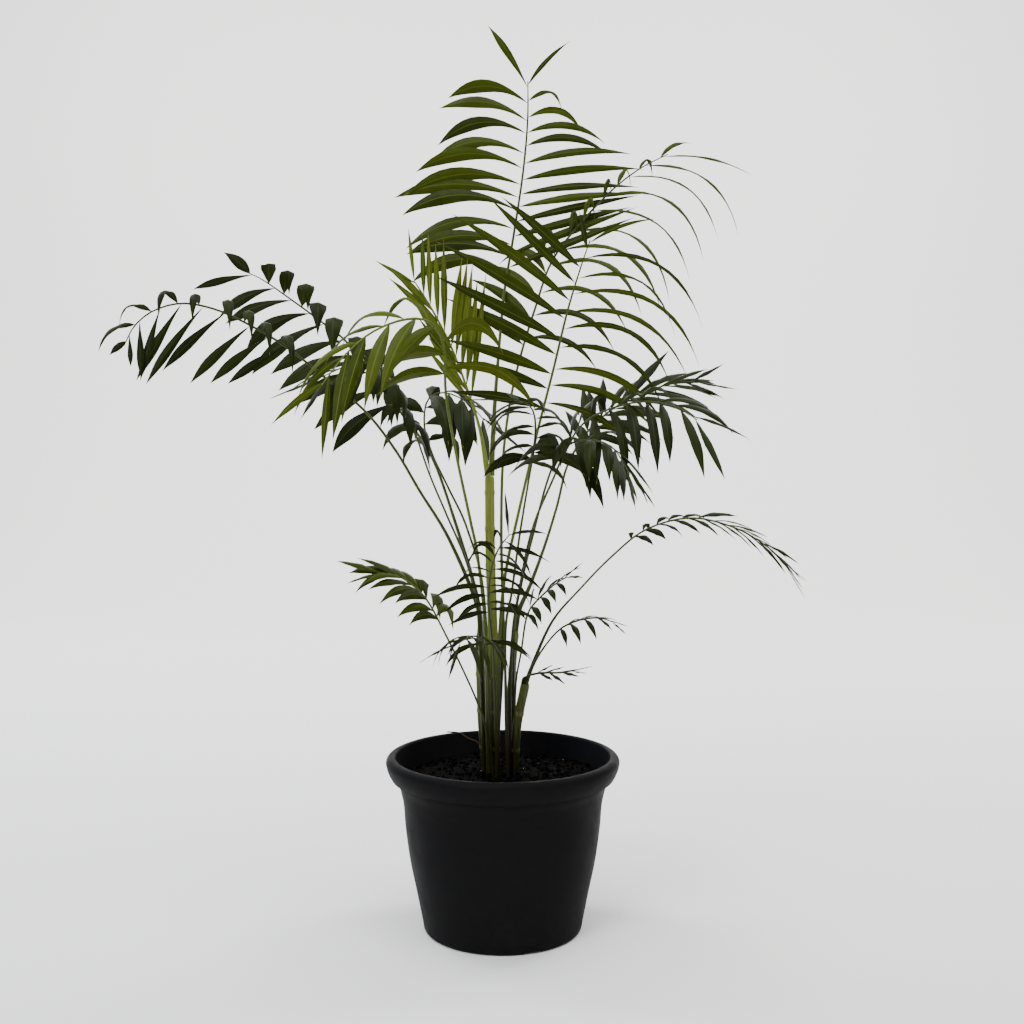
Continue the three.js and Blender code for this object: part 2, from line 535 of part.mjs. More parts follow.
// The leaflets of a frond, from the first pair to the tip, with their random differences.
function leafletsOf(frond) {
  const random = sequence(frond.seed);
  const play = frond.play ?? 1;
  const leaflets = [];
  for (let pair = 0; pair < frond.pairs; pair += 1) {
    const last = pair === frond.pairs - 1;
    for (const side of [-1, 1]) {
      const shape = side < 0 ? frond.left : frond.right;
      const v = (pair + (side > 0 ? 0.3 : 0) + 0.15 * random()) / (frond.pairs - 0.7);
      const spot = Math.min(Math.max(v, 0), 1);
      const kept = last ? shape.tip ?? 1 : 1;
      const fullness = (last ? TIP_WIDTH : 1) * (0.8 + 0.2 * Math.sin(Math.PI * Math.min(1, spot + 0.2)));
      const droop = between(shape.droop, spot) * (last ? TIP_DROOP : 1);
      leaflets.push({
        side,
        stations: shape.blade ?? frond.blade,
        u: frond.bare + (0.995 - frond.bare) * spot,
        length: between(shape.length, spot) * kept * (1 + 0.08 * random()),
        sweep: (last ? TIP_SWEEP : between(shape.sweep, spot)) + 4 * play * random(),
        rise: between(shape.rise, spot) + 6 * play * random(),
        droop: Math.min(1, Math.max(0, droop + 0.08 * play * random())),
        width: shape.width * fullness * (1 + 0.08 * random()),
        turn: 12 * random(),
      });
    }
  }
  return leaflets;
}

// The midline of a leaflet: it leaves the midrib in one direction and its end turns down.
function leafletLine(stalk, leaflet, bend) {
  const { along, up, right } = frameAt(stalk.curve, leaflet.u, stalk.face);
  const sweep = THREE.MathUtils.degToRad(leaflet.sweep);
  const rise = THREE.MathUtils.degToRad(leaflet.rise + bend);
  const out = right.clone().multiplyScalar(leaflet.side * Math.cos(sweep));
  out.addScaledVector(along, Math.sin(sweep));
  out.multiplyScalar(Math.cos(rise)).addScaledVector(up, Math.sin(rise)).normalize();
  const end = out.clone().multiplyScalar(1 - leaflet.droop).add(new THREE.Vector3(0, 0, -leaflet.droop));
  end.normalize();
  const root = stalk.curve.getPointAt(leaflet.u);
  const middle = root.clone().addScaledVector(out, leaflet.length / 2);
  const tip = middle.clone().addScaledVector(end, leaflet.length / 2);
  return { line: new THREE.QuadraticBezierCurve3(root, middle, tip), out, end, up };
}

// A leaflet is a thin blade with a low roof's section: two edges, and the midrib above them.
function leafletSolid(stalk, leaflet, bend, margin) {
  const { line, out, end, up } = leafletLine(stalk, leaflet, bend);
  const across = new THREE.Vector3().crossVectors(up, out).normalize();
  const turn = THREE.MathUtils.degToRad(leaflet.turn * leaflet.side);
  across.applyAxisAngle(out, turn);
  const swing = new THREE.Quaternion().setFromUnitVectors(out, end);
  const rings = leaflet.stations.map(([t, share]) => {
    const centre = line.getPoint(t);
    const bent = new THREE.Quaternion().slerp(swing, t);
    const wide = across.clone().applyQuaternion(bent);
    const tangent = line.getTangent(t);
    wide.addScaledVector(tangent, -wide.dot(tangent)).normalize();
    const thick = new THREE.Vector3().crossVectors(tangent, wide).normalize();
    const half = (leaflet.width * share) / 2 + margin;
    const height = BLADE_THICKNESS + leaflet.width * share * BLADE_FOLD + margin;
    return [
      centre.clone().addScaledVector(wide, half).addScaledVector(thick, -height / 2),
      centre.clone().addScaledVector(thick, height / 2),
      centre.clone().addScaledVector(wide, -half).addScaledVector(thick, -height / 2),
    ];
  });
  return solidOf(loft(rings, line.getPoint(1)));
}

function boxesMeet(one, other) {
  for (let axis = 0; axis < 3; axis += 1) {
    if (one.max[axis] < other.min[axis] || other.max[axis] < one.min[axis]) return false;
  }
  return true;
}

function crosses(solid, others) {
  const box = solid.boundingBox();
  return others.some((other) => boxesMeet(box, other.box) && solid.intersect(other.solid).volume() > 1e-6);
}

function boxed(solid) {
  return { solid, box: solid.boundingBox() };
}

// ---- Assembly -----------------------------------------------------------------------------

const group = new THREE.Group();

function addPiece(name, geometry, material) {
  const mesh = new THREE.Mesh(geometry, material);
  mesh.name = name;
  group.add(mesh);
}

const canes = CANES.map(caneSolid);
const stalks = FRONDS.map(stalkOf);
const dried = driedStalk();
const plantedStems = [...canes, dried, ...stalks.filter((stalk) => stalk.planted)];

const potBody = potSolid();
const soilBody = soilSolid(plantedStems);
addPiece('pot', geometryOf(potBody), POT_PLASTIC);
addPiece('soil', geometryOf(soilBody), POTTING_MIX);
CANES.forEach((cane, k) => addPiece(cane.name, geometryOf(canes[k].solid), CANE_SKIN));
addPiece('dry_stalk', geometryOf(dried.solid), DRY_STALK);

// Leaflets are added frond by frond. One that would cross another frond, a stalk or a cane
// gives way to the side, as it does in life, and where it can't, it is left off.
const still = [...canes, dried, { solid: potBody }, { solid: soilBody }].map(({ solid }) => boxed(solid));
const stalkBoxes = stalks.map((stalk) => boxed(stalk.solid));
const finished = [];
FRONDS.forEach((frond, k) => {
  const others = [...still, ...finished, ...stalkBoxes.filter((box, j) => j > k)];
  const parts = [stalks[k].solid];
  for (const leaflet of leafletsOf(frond)) {
    const free = (angle) => !crosses(leafletSolid(stalks[k], leaflet, angle, CLEARANCE / 2), others);
    const bend = BENDS.find(free);
    if (bend !== undefined) parts.push(leafletSolid(stalks[k], leaflet, bend, 0));
  }
  const fused = wasm.Manifold.union(parts);
  finished.push(boxed(fused));
  addPiece(frond.name, geometryOf(fused), frond.leaf);
});

export default group;
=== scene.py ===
# %% [markdown]
# # A potted feather palm
# A clump of slender green canes grows in a round black nursery pot. Each frond has a long bare
# stalk, a midrib, and two rows of narrow leaflets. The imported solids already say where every
# stalk stands and where every leaflet ends, so this script dresses them: it grows the same
# fronds with finer blades, and gives each surface the finish of the real one.

# %% Load the frame
import math
import random

import bmesh
import bpy
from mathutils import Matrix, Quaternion, Vector, noise
from mathutils.kdtree import KDTree


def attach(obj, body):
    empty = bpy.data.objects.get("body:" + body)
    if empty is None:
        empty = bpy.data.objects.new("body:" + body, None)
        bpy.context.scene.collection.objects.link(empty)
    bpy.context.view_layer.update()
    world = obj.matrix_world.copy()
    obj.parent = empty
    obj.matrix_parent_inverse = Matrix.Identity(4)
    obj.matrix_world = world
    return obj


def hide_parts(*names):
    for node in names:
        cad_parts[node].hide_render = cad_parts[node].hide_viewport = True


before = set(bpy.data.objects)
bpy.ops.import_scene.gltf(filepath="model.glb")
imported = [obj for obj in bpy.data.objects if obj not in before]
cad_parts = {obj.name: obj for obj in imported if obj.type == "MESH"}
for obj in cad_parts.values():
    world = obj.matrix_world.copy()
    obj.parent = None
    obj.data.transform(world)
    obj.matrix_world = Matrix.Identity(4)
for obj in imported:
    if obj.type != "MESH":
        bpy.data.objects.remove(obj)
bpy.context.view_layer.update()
MM = 0.001

# %% [markdown]
# ## Camera
# The photograph was taken level, from a step and a half away, at about half the plant's height.
# A level camera keeps the pot's sides upright, and a small shift brings the whole plant into
# the square picture, as cropping would.

# %% Camera
EYE = Vector((11, -1500, 563)) * MM
SENSOR_MM = 36
PICTURE_PX = 1024
FOCAL_PX = 1248
HORIZON_PX = 457

camera_data = bpy.data.cameras.new("camera")
camera_data.sensor_width = SENSOR_MM
camera_data.lens = SENSOR_MM * FOCAL_PX / PICTURE_PX
camera_data.shift_y = (HORIZON_PX - PICTURE_PX / 2) / PICTURE_PX
camera = bpy.data.objects.new("camera", camera_data)
camera.location = EYE
camera.rotation_euler = (math.radians(90), 0, 0)
bpy.context.scene.collection.objects.link(camera)
bpy.context.scene.camera = camera
print("lens:", round(camera_data.lens, 1), "mm")

# %% [markdown]
# ## Colours and nodes
# Colours are written as the hex values that a painter would pick on a screen. The shader wants
# linear light, so one function turns them. Another small function adds a node with its
# settings and its links, which keeps each material readable from top to bottom.

# %% Helpers for materials
def linear(hex_colour):
    """The linear colour of an sRGB hex value."""
    parts = [int(hex_colour[k:k + 2], 16) / 255 for k in (1, 3, 5)]
    return [c / 12.92 if c <= 0.04045 else ((c + 0.055) / 1.055) ** 2.4 for c in parts] + [1]


def fill(tree, node, inputs):
    """Sets inputs. Each is a value, a socket to link, or a node whose first output is linked."""
    for name, value in inputs.items():
        if isinstance(value, bpy.types.Node):
            value = value.outputs[0]
        if isinstance(value, bpy.types.NodeSocket):
            tree.links.new(value, node.inputs[name])
        else:
            node.inputs[name].default_value = value


def add(tree, kind, inputs, **settings):
    """Adds a node with its settings and its inputs."""
    node = tree.nodes.new("ShaderNode" + kind)
    for name, value in settings.items():
        setattr(node, name, value)
    fill(tree, node, inputs)
    return node


def new_material(name):
    """A material with its shader, and the object coordinates in metres."""
    material = bpy.data.materials.new(name)
    material.use_nodes = True
    tree = material.node_tree
    place = add(tree, "TexCoord", {}).outputs["Object"]
    return material, tree, tree.nodes["Principled BSDF"], place


# The numbers of a Mix node's colour sockets.
COLOUR_A, COLOUR_B, COLOUR_OUT = 6, 7, 2


# %% [markdown]
# ## Leaf blades
# A palm leaflet is a tough waxy blade. Its veins run lengthwise, the midvein shows as a paler
# line, and old blades are darker than young ones, partly with age and partly as painted shade.
# The veins follow the blade, so each of its points stores how far it is along the blade and
# across it. The mottling is noise in object space, a few millimetres wide. The colours are laid
# over one another like coats of paint: deep green, a brighter green in patches, the veins, and
# the dry brown of the tip.

# %% Leaf materials
BLADE_WIDTH_MM = 13
# Real side veins stand 0.4 mm apart. They are drawn four times as coarse, to show at all.
VEIN_SPACING_MM = 1.6
MOTTLE_MM = 14
DRY_TIP = "#7c6a35"


def leaf_material(name, deep, bright, vein, roughness):
    """A waxy blade that varies from one leaflet to the next between deep and bright."""
    material, tree, shader, place = new_material(name)
    along, across, tone = [add(tree, "Attribute", {}, attribute_name=layer).outputs["Fac"]
                           for layer in ("along", "across", "tone")]
    mottle = add(tree, "TexNoise", {"Vector": place, "Scale": 1 / (MOTTLE_MM * MM), "Detail": 3})
    mixed = add(tree, "Math", {0: mottle, 1: 0.7, 2: tone}, operation="MULTIPLY_ADD")
    shade = add(tree, "MapRange", {"Value": mixed, "From Min": 0.1, "From Max": 1.1})
    centred = add(tree, "Math", {0: across, 1: 0.5}, operation="SUBTRACT")
    off_middle = add(tree, "Math", {0: centred}, operation="ABSOLUTE")
    midvein = add(tree, "MapRange", {"Value": off_middle, "From Min": 0.02, "From Max": 0.07,
                                     "To Min": 0.55, "To Max": 0.0},
                  interpolation_type="SMOOTHSTEP")
    turns = 2 * math.pi * BLADE_WIDTH_MM / VEIN_SPACING_MM
    veins = add(tree, "Math", {0: across, 1: turns}, operation="MULTIPLY")
    ridges = add(tree, "Math", {0: veins}, operation="SINE")
    line = add(tree, "MapRange", {"Value": ridges, "From Min": 0.2, "From Max": 1,
                                  "To Min": 0.0, "To Max": 0.16})
    dry = add(tree, "MapRange", {"Value": along, "From Min": 0.94, "From Max": 1.0,
                                 "To Min": 0.0, "To Max": 0.8}, interpolation_type="SMOOTHSTEP")
    colour = linear(deep)
    for share, coat in ((shade, bright), (midvein, vein), (line, vein), (dry, DRY_TIP)):
        coated = add(tree, "Mix", {0: share, COLOUR_A: colour, COLOUR_B: linear(coat)},
                     data_type="RGBA")
        colour = coated.outputs[COLOUR_OUT]
    worn = add(tree, "MapRange", {"Value": mottle, "To Min": roughness - 0.06,
                                  "To Max": roughness + 0.1})
    bump = add(tree, "Bump", {"Height": ridges, "Strength": 0.25, "Distance": 0.2 * MM})
    fill(tree, shader, {"Base Color": colour, "Roughness": worn, "Normal": bump,
                        "Specular IOR Level": 0.06})
    return material


# The wax on the upper side gives a low, broad sheen. The green under it goes from nearly black
# on old leaves to yellow green on young ones. The near black of the old leaves is partly their
# age and partly painted shade.
leaf_faces = {
    "old": leaf_material("waxy_leaf_old_painted_shade", "#0c1101", "#1c2404", "#2c350d", 0.4),
    "grown": leaf_material("waxy_leaf_grown", "#131b02", "#323c09", "#4b5416", 0.38),
    "fresh": leaf_material("waxy_leaf_fresh", "#182201", "#404b0c", "#59641c", 0.38),
    "young": leaf_material("waxy_leaf_young", "#2e3908", "#55611a", "#737e38", 0.4),
}
# The underside has less wax and more air in it, so it looks duller and a little paler. Its old
# colours are darkened as painted shade too.
leaf_backs = {
    "old": leaf_material("leaf_back_old_painted_shade", "#131803", "#252c08", "#383f15", 0.5),
    "grown": leaf_material("leaf_back_grown", "#1c2403", "#3a430b", "#525a1c", 0.5),
    "fresh": leaf_material("leaf_back_fresh", "#222902", "#4a5410", "#646c23", 0.5),
    "young": leaf_material("leaf_back_young", "#39440b", "#626b1c", "#7f873b", 0.5),
}
print("leaf materials:", len(leaf_faces) + len(leaf_backs))

# %% [markdown]
# ## Stalks and canes
# A stalk is smooth, faintly streaked along its length, and paler than the leaflets. Its colour is
# darkest near the soil, which is painted shade, and a little brown there, and brightest half
# way up, which is painted light. A cane has a pale scar ring wherever an old leaf fell. The
# streaks are noise squeezed across and drawn out in height, so they run along the stem. The same
# noise, cut off sharply, leaves patches of dry brown husk that thin out above the soil.

# %% Stalk and cane materials
STREAK_MM = 1.5
STREAK_LENGTH_MM = 60
SOIL_TOP = 184 * MM
HUSK_TOP = 320 * MM
FADING_HEIGHT = 350 * MM
SCAR = "#6d6b3c"
HUSK = "#241809"


def stalk_material(name, foot, middle, top, painted_light_at=0.5):
    """A smooth green stem coloured by height from foot to middle to top: painted shade at the foot,
    painted light in the middle.
    """
    material, tree, shader, place = new_material(name)
    height = add(tree, "SeparateXYZ", {"Vector": place}).outputs["Z"]
    scar = add(tree, "Attribute", {}, attribute_name="scar").outputs["Fac"]
    rise = add(tree, "MapRange", {"Value": height, "From Min": SOIL_TOP, "From Max": painted_light_at})
    fall = add(tree, "MapRange", {"Value": height, "From Min": painted_light_at,
                                  "From Max": painted_light_at + FADING_HEIGHT})
    squeeze = (1 / (STREAK_MM * MM), 1 / (STREAK_MM * MM), 1 / (STREAK_LENGTH_MM * MM))
    drawn = add(tree, "Mapping", {"Vector": place, "Scale": squeeze})
    streaks = add(tree, "TexNoise", {"Vector": drawn, "Scale": 1, "Detail": 4})
    streak = add(tree, "MapRange", {"Value": streaks, "From Min": 0.45, "From Max": 0.75,
                                    "To Min": 0.0, "To Max": 0.45})
    patches = add(tree, "MapRange", {"Value": streaks, "From Min": 0.48, "From Max": 0.6})
    near_soil = add(tree, "MapRange", {"Value": height, "From Min": SOIL_TOP,
                                       "From Max": HUSK_TOP, "To Min": 0.85, "To Max": 0.0})
    husk = add(tree, "Math", {0: patches, 1: near_soil}, operation="MULTIPLY")
    colour = linear(foot)
    # The foot colour near the soil is painted shade, and the middle colour half way up is painted
    # light.
    for share, coat in ((rise, middle), (fall, top), (streak, foot), (scar, SCAR), (husk, HUSK)):
        coated = add(tree, "Mix", {0: share, COLOUR_A: colour, COLOUR_B: linear(coat)},
                     data_type="RGBA")
        colour = coated.outputs[COLOUR_OUT]
    bump = add(tree, "Bump", {"Height": streaks, "Strength": 0.2, "Distance": 0.3 * MM})
    fill(tree, shader, {"Base Color": colour, "Normal": bump, "Roughness": 0.42,
                        "Specular IOR Level": 0.15})
    return material


# The taut skin of a stalk gives a soft gleam down its length. It is greener than the leaves it
# carries, and the cane, which is older and harder, is paler still.
# Here and in the cane below, the first colour, at the soil, is painted shade, and the second, half
# way up, is painted light.
stalk_finishes = {
    "old": stalk_material("stalk_skin_old", "#16180a", "#40481a", "#1d240a"),
    "grown": stalk_material("stalk_skin_grown", "#1e210b", "#5b6725", "#2b330d"),
    "fresh": stalk_material("stalk_skin_fresh", "#1e220b", "#5b6725", "#4b5619"),
    "young": stalk_material("stalk_skin_young", "#2b3212", "#737f31", "#646f25"),
}
cane_skin = stalk_material("cane_skin", "#1c1f0b", "#727e35", "#808a40", painted_light_at=0.44)
print("stem materials:", len(stalk_finishes) + 1)

# %% [markdown]
# ## Pot, soil and dry fibre
# The pot is injection-moulded polypropylene, coloured black through and through. It is almost
# smooth: a fine grain breaks up the shine, handling has scuffed it, and dust and dried splashes
# of soil dull it near the foot. Potting mix is dark peat and bark with a few white grains, and
# its colour is painted darker still, as the shade inside the pot.

# %% Pot and soil materials
# The mould's grain is a third of this, and is drawn coarser so that it shows.
GRAIN_MM = 0.9
SCUFF_MM = 30
DUST_TOP = 70 * MM


def pot_material():
    """Black moulded polypropylene with a fine grain, soft scuffs and a dusty foot."""
    material, tree, shader, place = new_material("moulded_polypropylene")
    grain = add(tree, "TexNoise", {"Vector": place, "Scale": 1 / (GRAIN_MM * MM), "Detail": 2})
    scuffs = add(tree, "TexNoise", {"Vector": place, "Scale": 1 / (SCUFF_MM * MM), "Detail": 6,
                                    "Roughness": 0.65, "Distortion": 0.6})
    height = add(tree, "SeparateXYZ", {"Vector": place}).outputs["Z"]
    foot = add(tree, "MapRange", {"Value": height, "From Min": 0.0, "From Max": DUST_TOP,
                                  "To Min": 0.55, "To Max": 0.12})
    patches = add(tree, "MapRange", {"Value": scuffs, "From Min": 0.42, "From Max": 0.72})
    dust = add(tree, "Math", {0: foot, 1: patches}, operation="MULTIPLY")
    colour = add(tree, "Mix", {0: dust, COLOUR_A: linear("#111112"),
                               COLOUR_B: linear("#1d1c1a")}, data_type="RGBA")
    rough = add(tree, "MapRange", {"Value": scuffs, "From Min": 0.3, "From Max": 0.7,
                                   "To Min": 0.44, "To Max": 0.6})
    bump = add(tree, "Bump", {"Height": grain, "Strength": 0.12, "Distance": 0.1 * MM})
    fill(tree, shader, {"Base Color": colour.outputs[COLOUR_OUT], "Roughness": rough,
                        "Normal": bump, "Specular IOR Level": 0.025})
    return material


def rough_material(name, dark, light, patch_mm, depth_mm, roughness=0.95):
    """A matt crumbly or fibrous surface that varies between two colours."""
    material, tree, shader, place = new_material(name)
    patches = add(tree, "TexNoise", {"Vector": place, "Scale": 1 / (patch_mm * MM), "Detail": 5})
    share = add(tree, "MapRange", {"Value": patches, "From Min": 0.35, "From Max": 0.7})
    colour = add(tree, "Mix", {0: share, COLOUR_A: linear(dark), COLOUR_B: linear(light)},
                 data_type="RGBA")
    bump = add(tree, "Bump", {"Height": patches, "Strength": 0.8, "Distance": depth_mm * MM})
    fill(tree, shader, {"Base Color": colour.outputs[COLOUR_OUT], "Normal": bump,
                        "Roughness": roughness, "Specular IOR Level": 0.04})
    return material


# Moulded black plastic swallows light and only glows dully where its edge turns away.
polypropylene = pot_material()
# Damp peat and bark are dark and have no shine at all. Their colours are darker still, near
# black, as painted shade inside the pot.
potting_mix = rough_material("damp_potting_mix_painted_shade", "#010101", "#070503", 4, 1.2)
# Perlite is glass blown up to a foam by heat, which the eye takes for chalk.
perlite = rough_material("perlite_grain", "#a9a59b", "#dcd9d0", 2, 0.4)
# A stalk that dried in the air is a brown, matt string.
dry_fibre = rough_material("dry_fibre", "#140d08", "#2e2014", 5, 0.4, roughness=0.8)
print("pot, soil and fibre materials: 4")

# %% [markdown]
# ## From a bmesh to a finished piece
# Every piece ends the same way: its faces are shaded smooth with sharp edges kept, it gets its
# materials, rides on the one body of the part, and stands for the plain solid that it
# replaces. The object stays at the origin and its place is in its mesh.

# %% Finish a piece
SHARP_ANGLE = math.radians(38)


def finish_piece(name, bm, materials, slot, stands_for=None):
    """Turns a bmesh into a piece of the part."""
    for face in bm.faces:
        face.smooth = True
    for edge in bm.edges:
        if len(edge.link_faces) == 2 and edge.calc_face_angle(0) > SHARP_ANGLE:
            edge.smooth = False
    mesh = bpy.data.meshes.new(name)
    bm.to_mesh(mesh)
    bm.free()
    for material in materials:
        mesh.materials.append(material)
    piece = bpy.data.objects.new(name, mesh)
    bpy.context.scene.collection.objects.link(piece)
    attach(piece, "root")
    if stands_for:
        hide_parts(stands_for)
    return piece


# %% [markdown]
# ## Curves of growth
# A stalk is a smooth curve through a few points: a Catmull-Rom spline. Places on it are given
# as a share of its length, because leaflets stand at even distances along a midrib, not at
# even steps of the spline's own parameter. A table of 200 chords turns one into the other.

# %% The spine
CHORDS = 200
NEARBY = 0.0004
PLANTING_DEPTH = 30 * MM
FOOT_RISE = 2 * MM
GAP = 0.3 * MM


class Spine:
    """A smooth curve through points, with places measured by length from 0 to 1."""

    def __init__(self, points):
        self.points = [Vector(point) for point in points]
        steps = [self.at(k / CHORDS) for k in range(CHORDS + 1)]
        self.lengths = [0.0]
        for one, other in zip(steps, steps[1:]):
            self.lengths.append(self.lengths[-1] + (other - one).length)
        self.length = self.lengths[-1]

    def at(self, t):
        last = len(self.points) - 1
        k = min(int(last * t), last - 1)
        w = last * t - k
        here, there = self.points[k], self.points[k + 1]
        before = self.points[k - 1] if k > 0 else here * 2 - there
        after = self.points[k + 2] if k + 2 <= last else there * 2 - here
        leave, arrive = (there - before) / 2, (after - here) / 2
        bend = (there - here) * 3 - leave * 2 - arrive
        return here + leave * w + bend * w ** 2 + (here * 2 - there * 2 + leave + arrive) * w ** 3

    def parameter(self, share):
        target = share * self.length
        k = 0
        while k < CHORDS - 1 and self.lengths[k + 1] <= target:
            k += 1
        chord = self.lengths[k + 1] - self.lengths[k]
        return (k + (target - self.lengths[k]) / chord) / CHORDS

    def place(self, share):
        return self.at(self.parameter(share))

    def direction(self, share):
        t = self.parameter(share)
        return (self.at(min(t + NEARBY, 1)) - self.at(max(t - NEARBY, 0))).normalized()

    def frame(self, share, face):
        """Directions along the spine, out of its upper face, and to its right."""
        along = self.direction(share)
        up = (face - along * face.dot(along)).normalized()
        return along, up, along.cross(up).normalized()


def stem_spine(path, seat_height=None):
    """The spine of a stem in millimetres. Its foot is in the soil, or on the top of a cane."""
    (x, y), *rest = path
    if seat_height is None:
        feet = [(SOIL_TOP - PLANTING_DEPTH) / MM, (SOIL_TOP + FOOT_RISE) / MM]
    else:
        feet = [seat_height + GAP / MM]
    return Spine([Vector(point) * MM for point in [(x, y, z) for z in feet] + rest])


# %% [markdown]
# ## A stem from a circle
# A stem could be a curve with a bevel, but a bevel can't swell at a scar or carry a groove.
# Here it starts as a circle of points that is extruded from ring to ring, and each new ring
# is set to its own radius and direction.

# %% Grow a stem
def grow_stem(bm, rings, values=None, layer=None):
    """Extrudes a circle through rings of points and closes both ends. Values fill a layer."""
    sides = len(rings[0])
    made = bmesh.ops.create_circle(bm, cap_ends=True, segments=sides, radius=1)
    loop = made["verts"]
    edges = list({edge for vert in loop for edge in vert.link_edges})
    for k, ring in enumerate(rings):
        if k > 0:
            extruded = bmesh.ops.extrude_edge_only(bm, edges=edges)["geom"]
            fresh = {item for item in extruded if isinstance(item, bmesh.types.BMVert)}
            edges = [item for item in extruded if isinstance(item, bmesh.types.BMEdge)
                     and item.verts[0] in fresh and item.verts[1] in fresh]
            loop = [next(edge.other_vert(vert) for edge in vert.link_edges
                         if edge.other_vert(vert) in fresh) for vert in loop]
        for vert, point in zip(loop, ring):
            vert.co = point
            if layer is not None:
                vert[layer] = values[k]
    bmesh.ops.edgeloop_fill(bm, edges=edges)


def stem_ring(centre, one, other, radius, sides, groove=0.0, folds=0.0):
    """A ring of points round a stem, pulled in by a groove on one side or by folds at three."""
    points = []
    for side in range(sides):
        turn = 2 * math.pi * side / sides
        between_lobes = 0.5 - 0.5 * math.cos(3 * turn)
        grooved = 1 - groove * max(0, math.sin(turn)) ** 4
        reach = radius * grooved * (1 - folds * between_lobes ** 2)
        points.append(centre + one * (reach * math.cos(turn)) + other * (reach * math.sin(turn)))
    return points


# %% [markdown]
# ## The pot
# The pot is a solid of revolution, so its section is drawn once and spun about the middle. The
# wall bellies a little, a faint step runs round it under the rim, and the rim is rolled over
# to a bead that a hand can grip. The notches at the foot and the holes in the floor let water
# out, and are cut afterwards.

# %% Pot
POT_STEPS = 144
POT_HEIGHT = 206 * MM
POT_WALL = 2.5 * MM
BASE_RADIUS = 93 * MM
FLOOR_THICKNESS = 3 * MM
FOOT_ROUNDING = 5 * MM
RIM_RADIUS = 140 * MM
BEAD_ROUNDING = 7.5 * MM
MOUTH_RADIUS = 128.5 * MM
LIP_ROUNDING = 2.4 * MM
# The wall, the band over its step, the hanging skirt of the rolled rim and the throat inside
# it, each as radius and height in millimetres.
WALL_POINTS = [(95, 6), (103, 45), (111, 83), (116.5, 122), (119, 151), (124, 172)]
BAND_POINTS = [(124.7, 172.8), (126, 181), (127.6, 188)]
SKIRT_POINTS = [(134.5, 195), (131, 182), (131.8, 180.4), (133, 180.6), (136.4, 186.6),
                (138.6, 192)]
THROAT_POINTS = [(126.2, 195), (124, 182)]
WALL_FROM = 0.04


def outline(points, offset=0.0):
    """Points of the section in metres, moved inwards by an offset."""
    return [Vector((radius * MM - offset, 0, height * MM)) for radius, height in points]


def wall_line(offset):
    """Points up the pot's wall, moved inwards by an offset."""
    wall = Spine(outline(WALL_POINTS, offset))
    return [wall.place(WALL_FROM + (1 - WALL_FROM) * k / 18) for k in range(19)]


def arc(x, z, radius, start, end, steps=6):
    """Points on an arc of the section, its angles in degrees from the outward direction."""
    turns = [math.radians(start + (end - start) * k / steps) for k in range(steps + 1)]
    return [Vector((x + radius * math.cos(turn), 0, z + radius * math.sin(turn)))
            for turn in turns]


def pot_section():
    """The pot's section, from the middle of the underside, up the outside and down the inside."""
    foot = arc(BASE_RADIUS - 3 * MM, FOOT_ROUNDING, FOOT_ROUNDING, -90, -15)
    roll_in = arc(131.6 * MM, 197 * MM, 2.2 * MM, 180, 60, 5)
    bead = arc(RIM_RADIUS - BEAD_ROUNDING, POT_HEIGHT - BEAD_ROUNDING, BEAD_ROUNDING, -5, 95, 9)
    mouth = arc(MOUTH_RADIUS + LIP_ROUNDING, POT_HEIGHT - LIP_ROUNDING, LIP_ROUNDING, 90, 180, 5)
    outside = foot + wall_line(0) + outline(BAND_POINTS) + roll_in + outline(SKIRT_POINTS) + bead
    inside = outline(THROAT_POINTS) + list(reversed(wall_line(POT_WALL)))
    return outside + mouth + inside + [Vector((BASE_RADIUS - 4 * MM, 0, FLOOR_THICKNESS))]


def make_pot():
    """Spins the section, closes the floor's two middles, and makes the normals point out."""
    bm = bmesh.new()
    verts = [bm.verts.new(point) for point in pot_section()]
    edges = [bm.edges.new(pair) for pair in zip(verts, verts[1:])]
    bmesh.ops.spin(bm, geom=verts + edges, cent=(0, 0, 0), axis=(0, 0, 1), angle=2 * math.pi,
                   steps=POT_STEPS, use_merge=True)
    bmesh.ops.remove_doubles(bm, verts=bm.verts, dist=0.01 * MM)
    open_edges = [edge for edge in bm.edges if edge.is_boundary]
    bmesh.ops.holes_fill(bm, edges=open_edges, sides=0)
    bmesh.ops.recalc_face_normals(bm, faces=bm.faces)
    return bm


pot_mesh = make_pot()
print("pot:", len(pot_mesh.faces), "faces before its openings are cut")

# %% Cut the notches and the drain holes
DRAIN_HOLES = 6
DRAIN_RADIUS = 5 * MM
DRAIN_CIRCLE = 62 * MM
NOTCHES = 4
NOTCH_WIDTH = 24 * MM
NOTCH_HEIGHT = 2.6 * MM
NOTCH_ROUNDING = 1.6 * MM
CUTTER_LENGTH = 12 * MM
FIRST_NOTCH = math.radians(-68)


def cutter_piece(bm):
    """A hidden helper object for a Boolean modifier."""
    mesh = bpy.data.meshes.new("cutter")
    bm.to_mesh(mesh)
    bm.free()
    cutter = bpy.data.objects.new("cutter", mesh)
    bpy.context.scene.collection.objects.link(cutter)
    return cutter


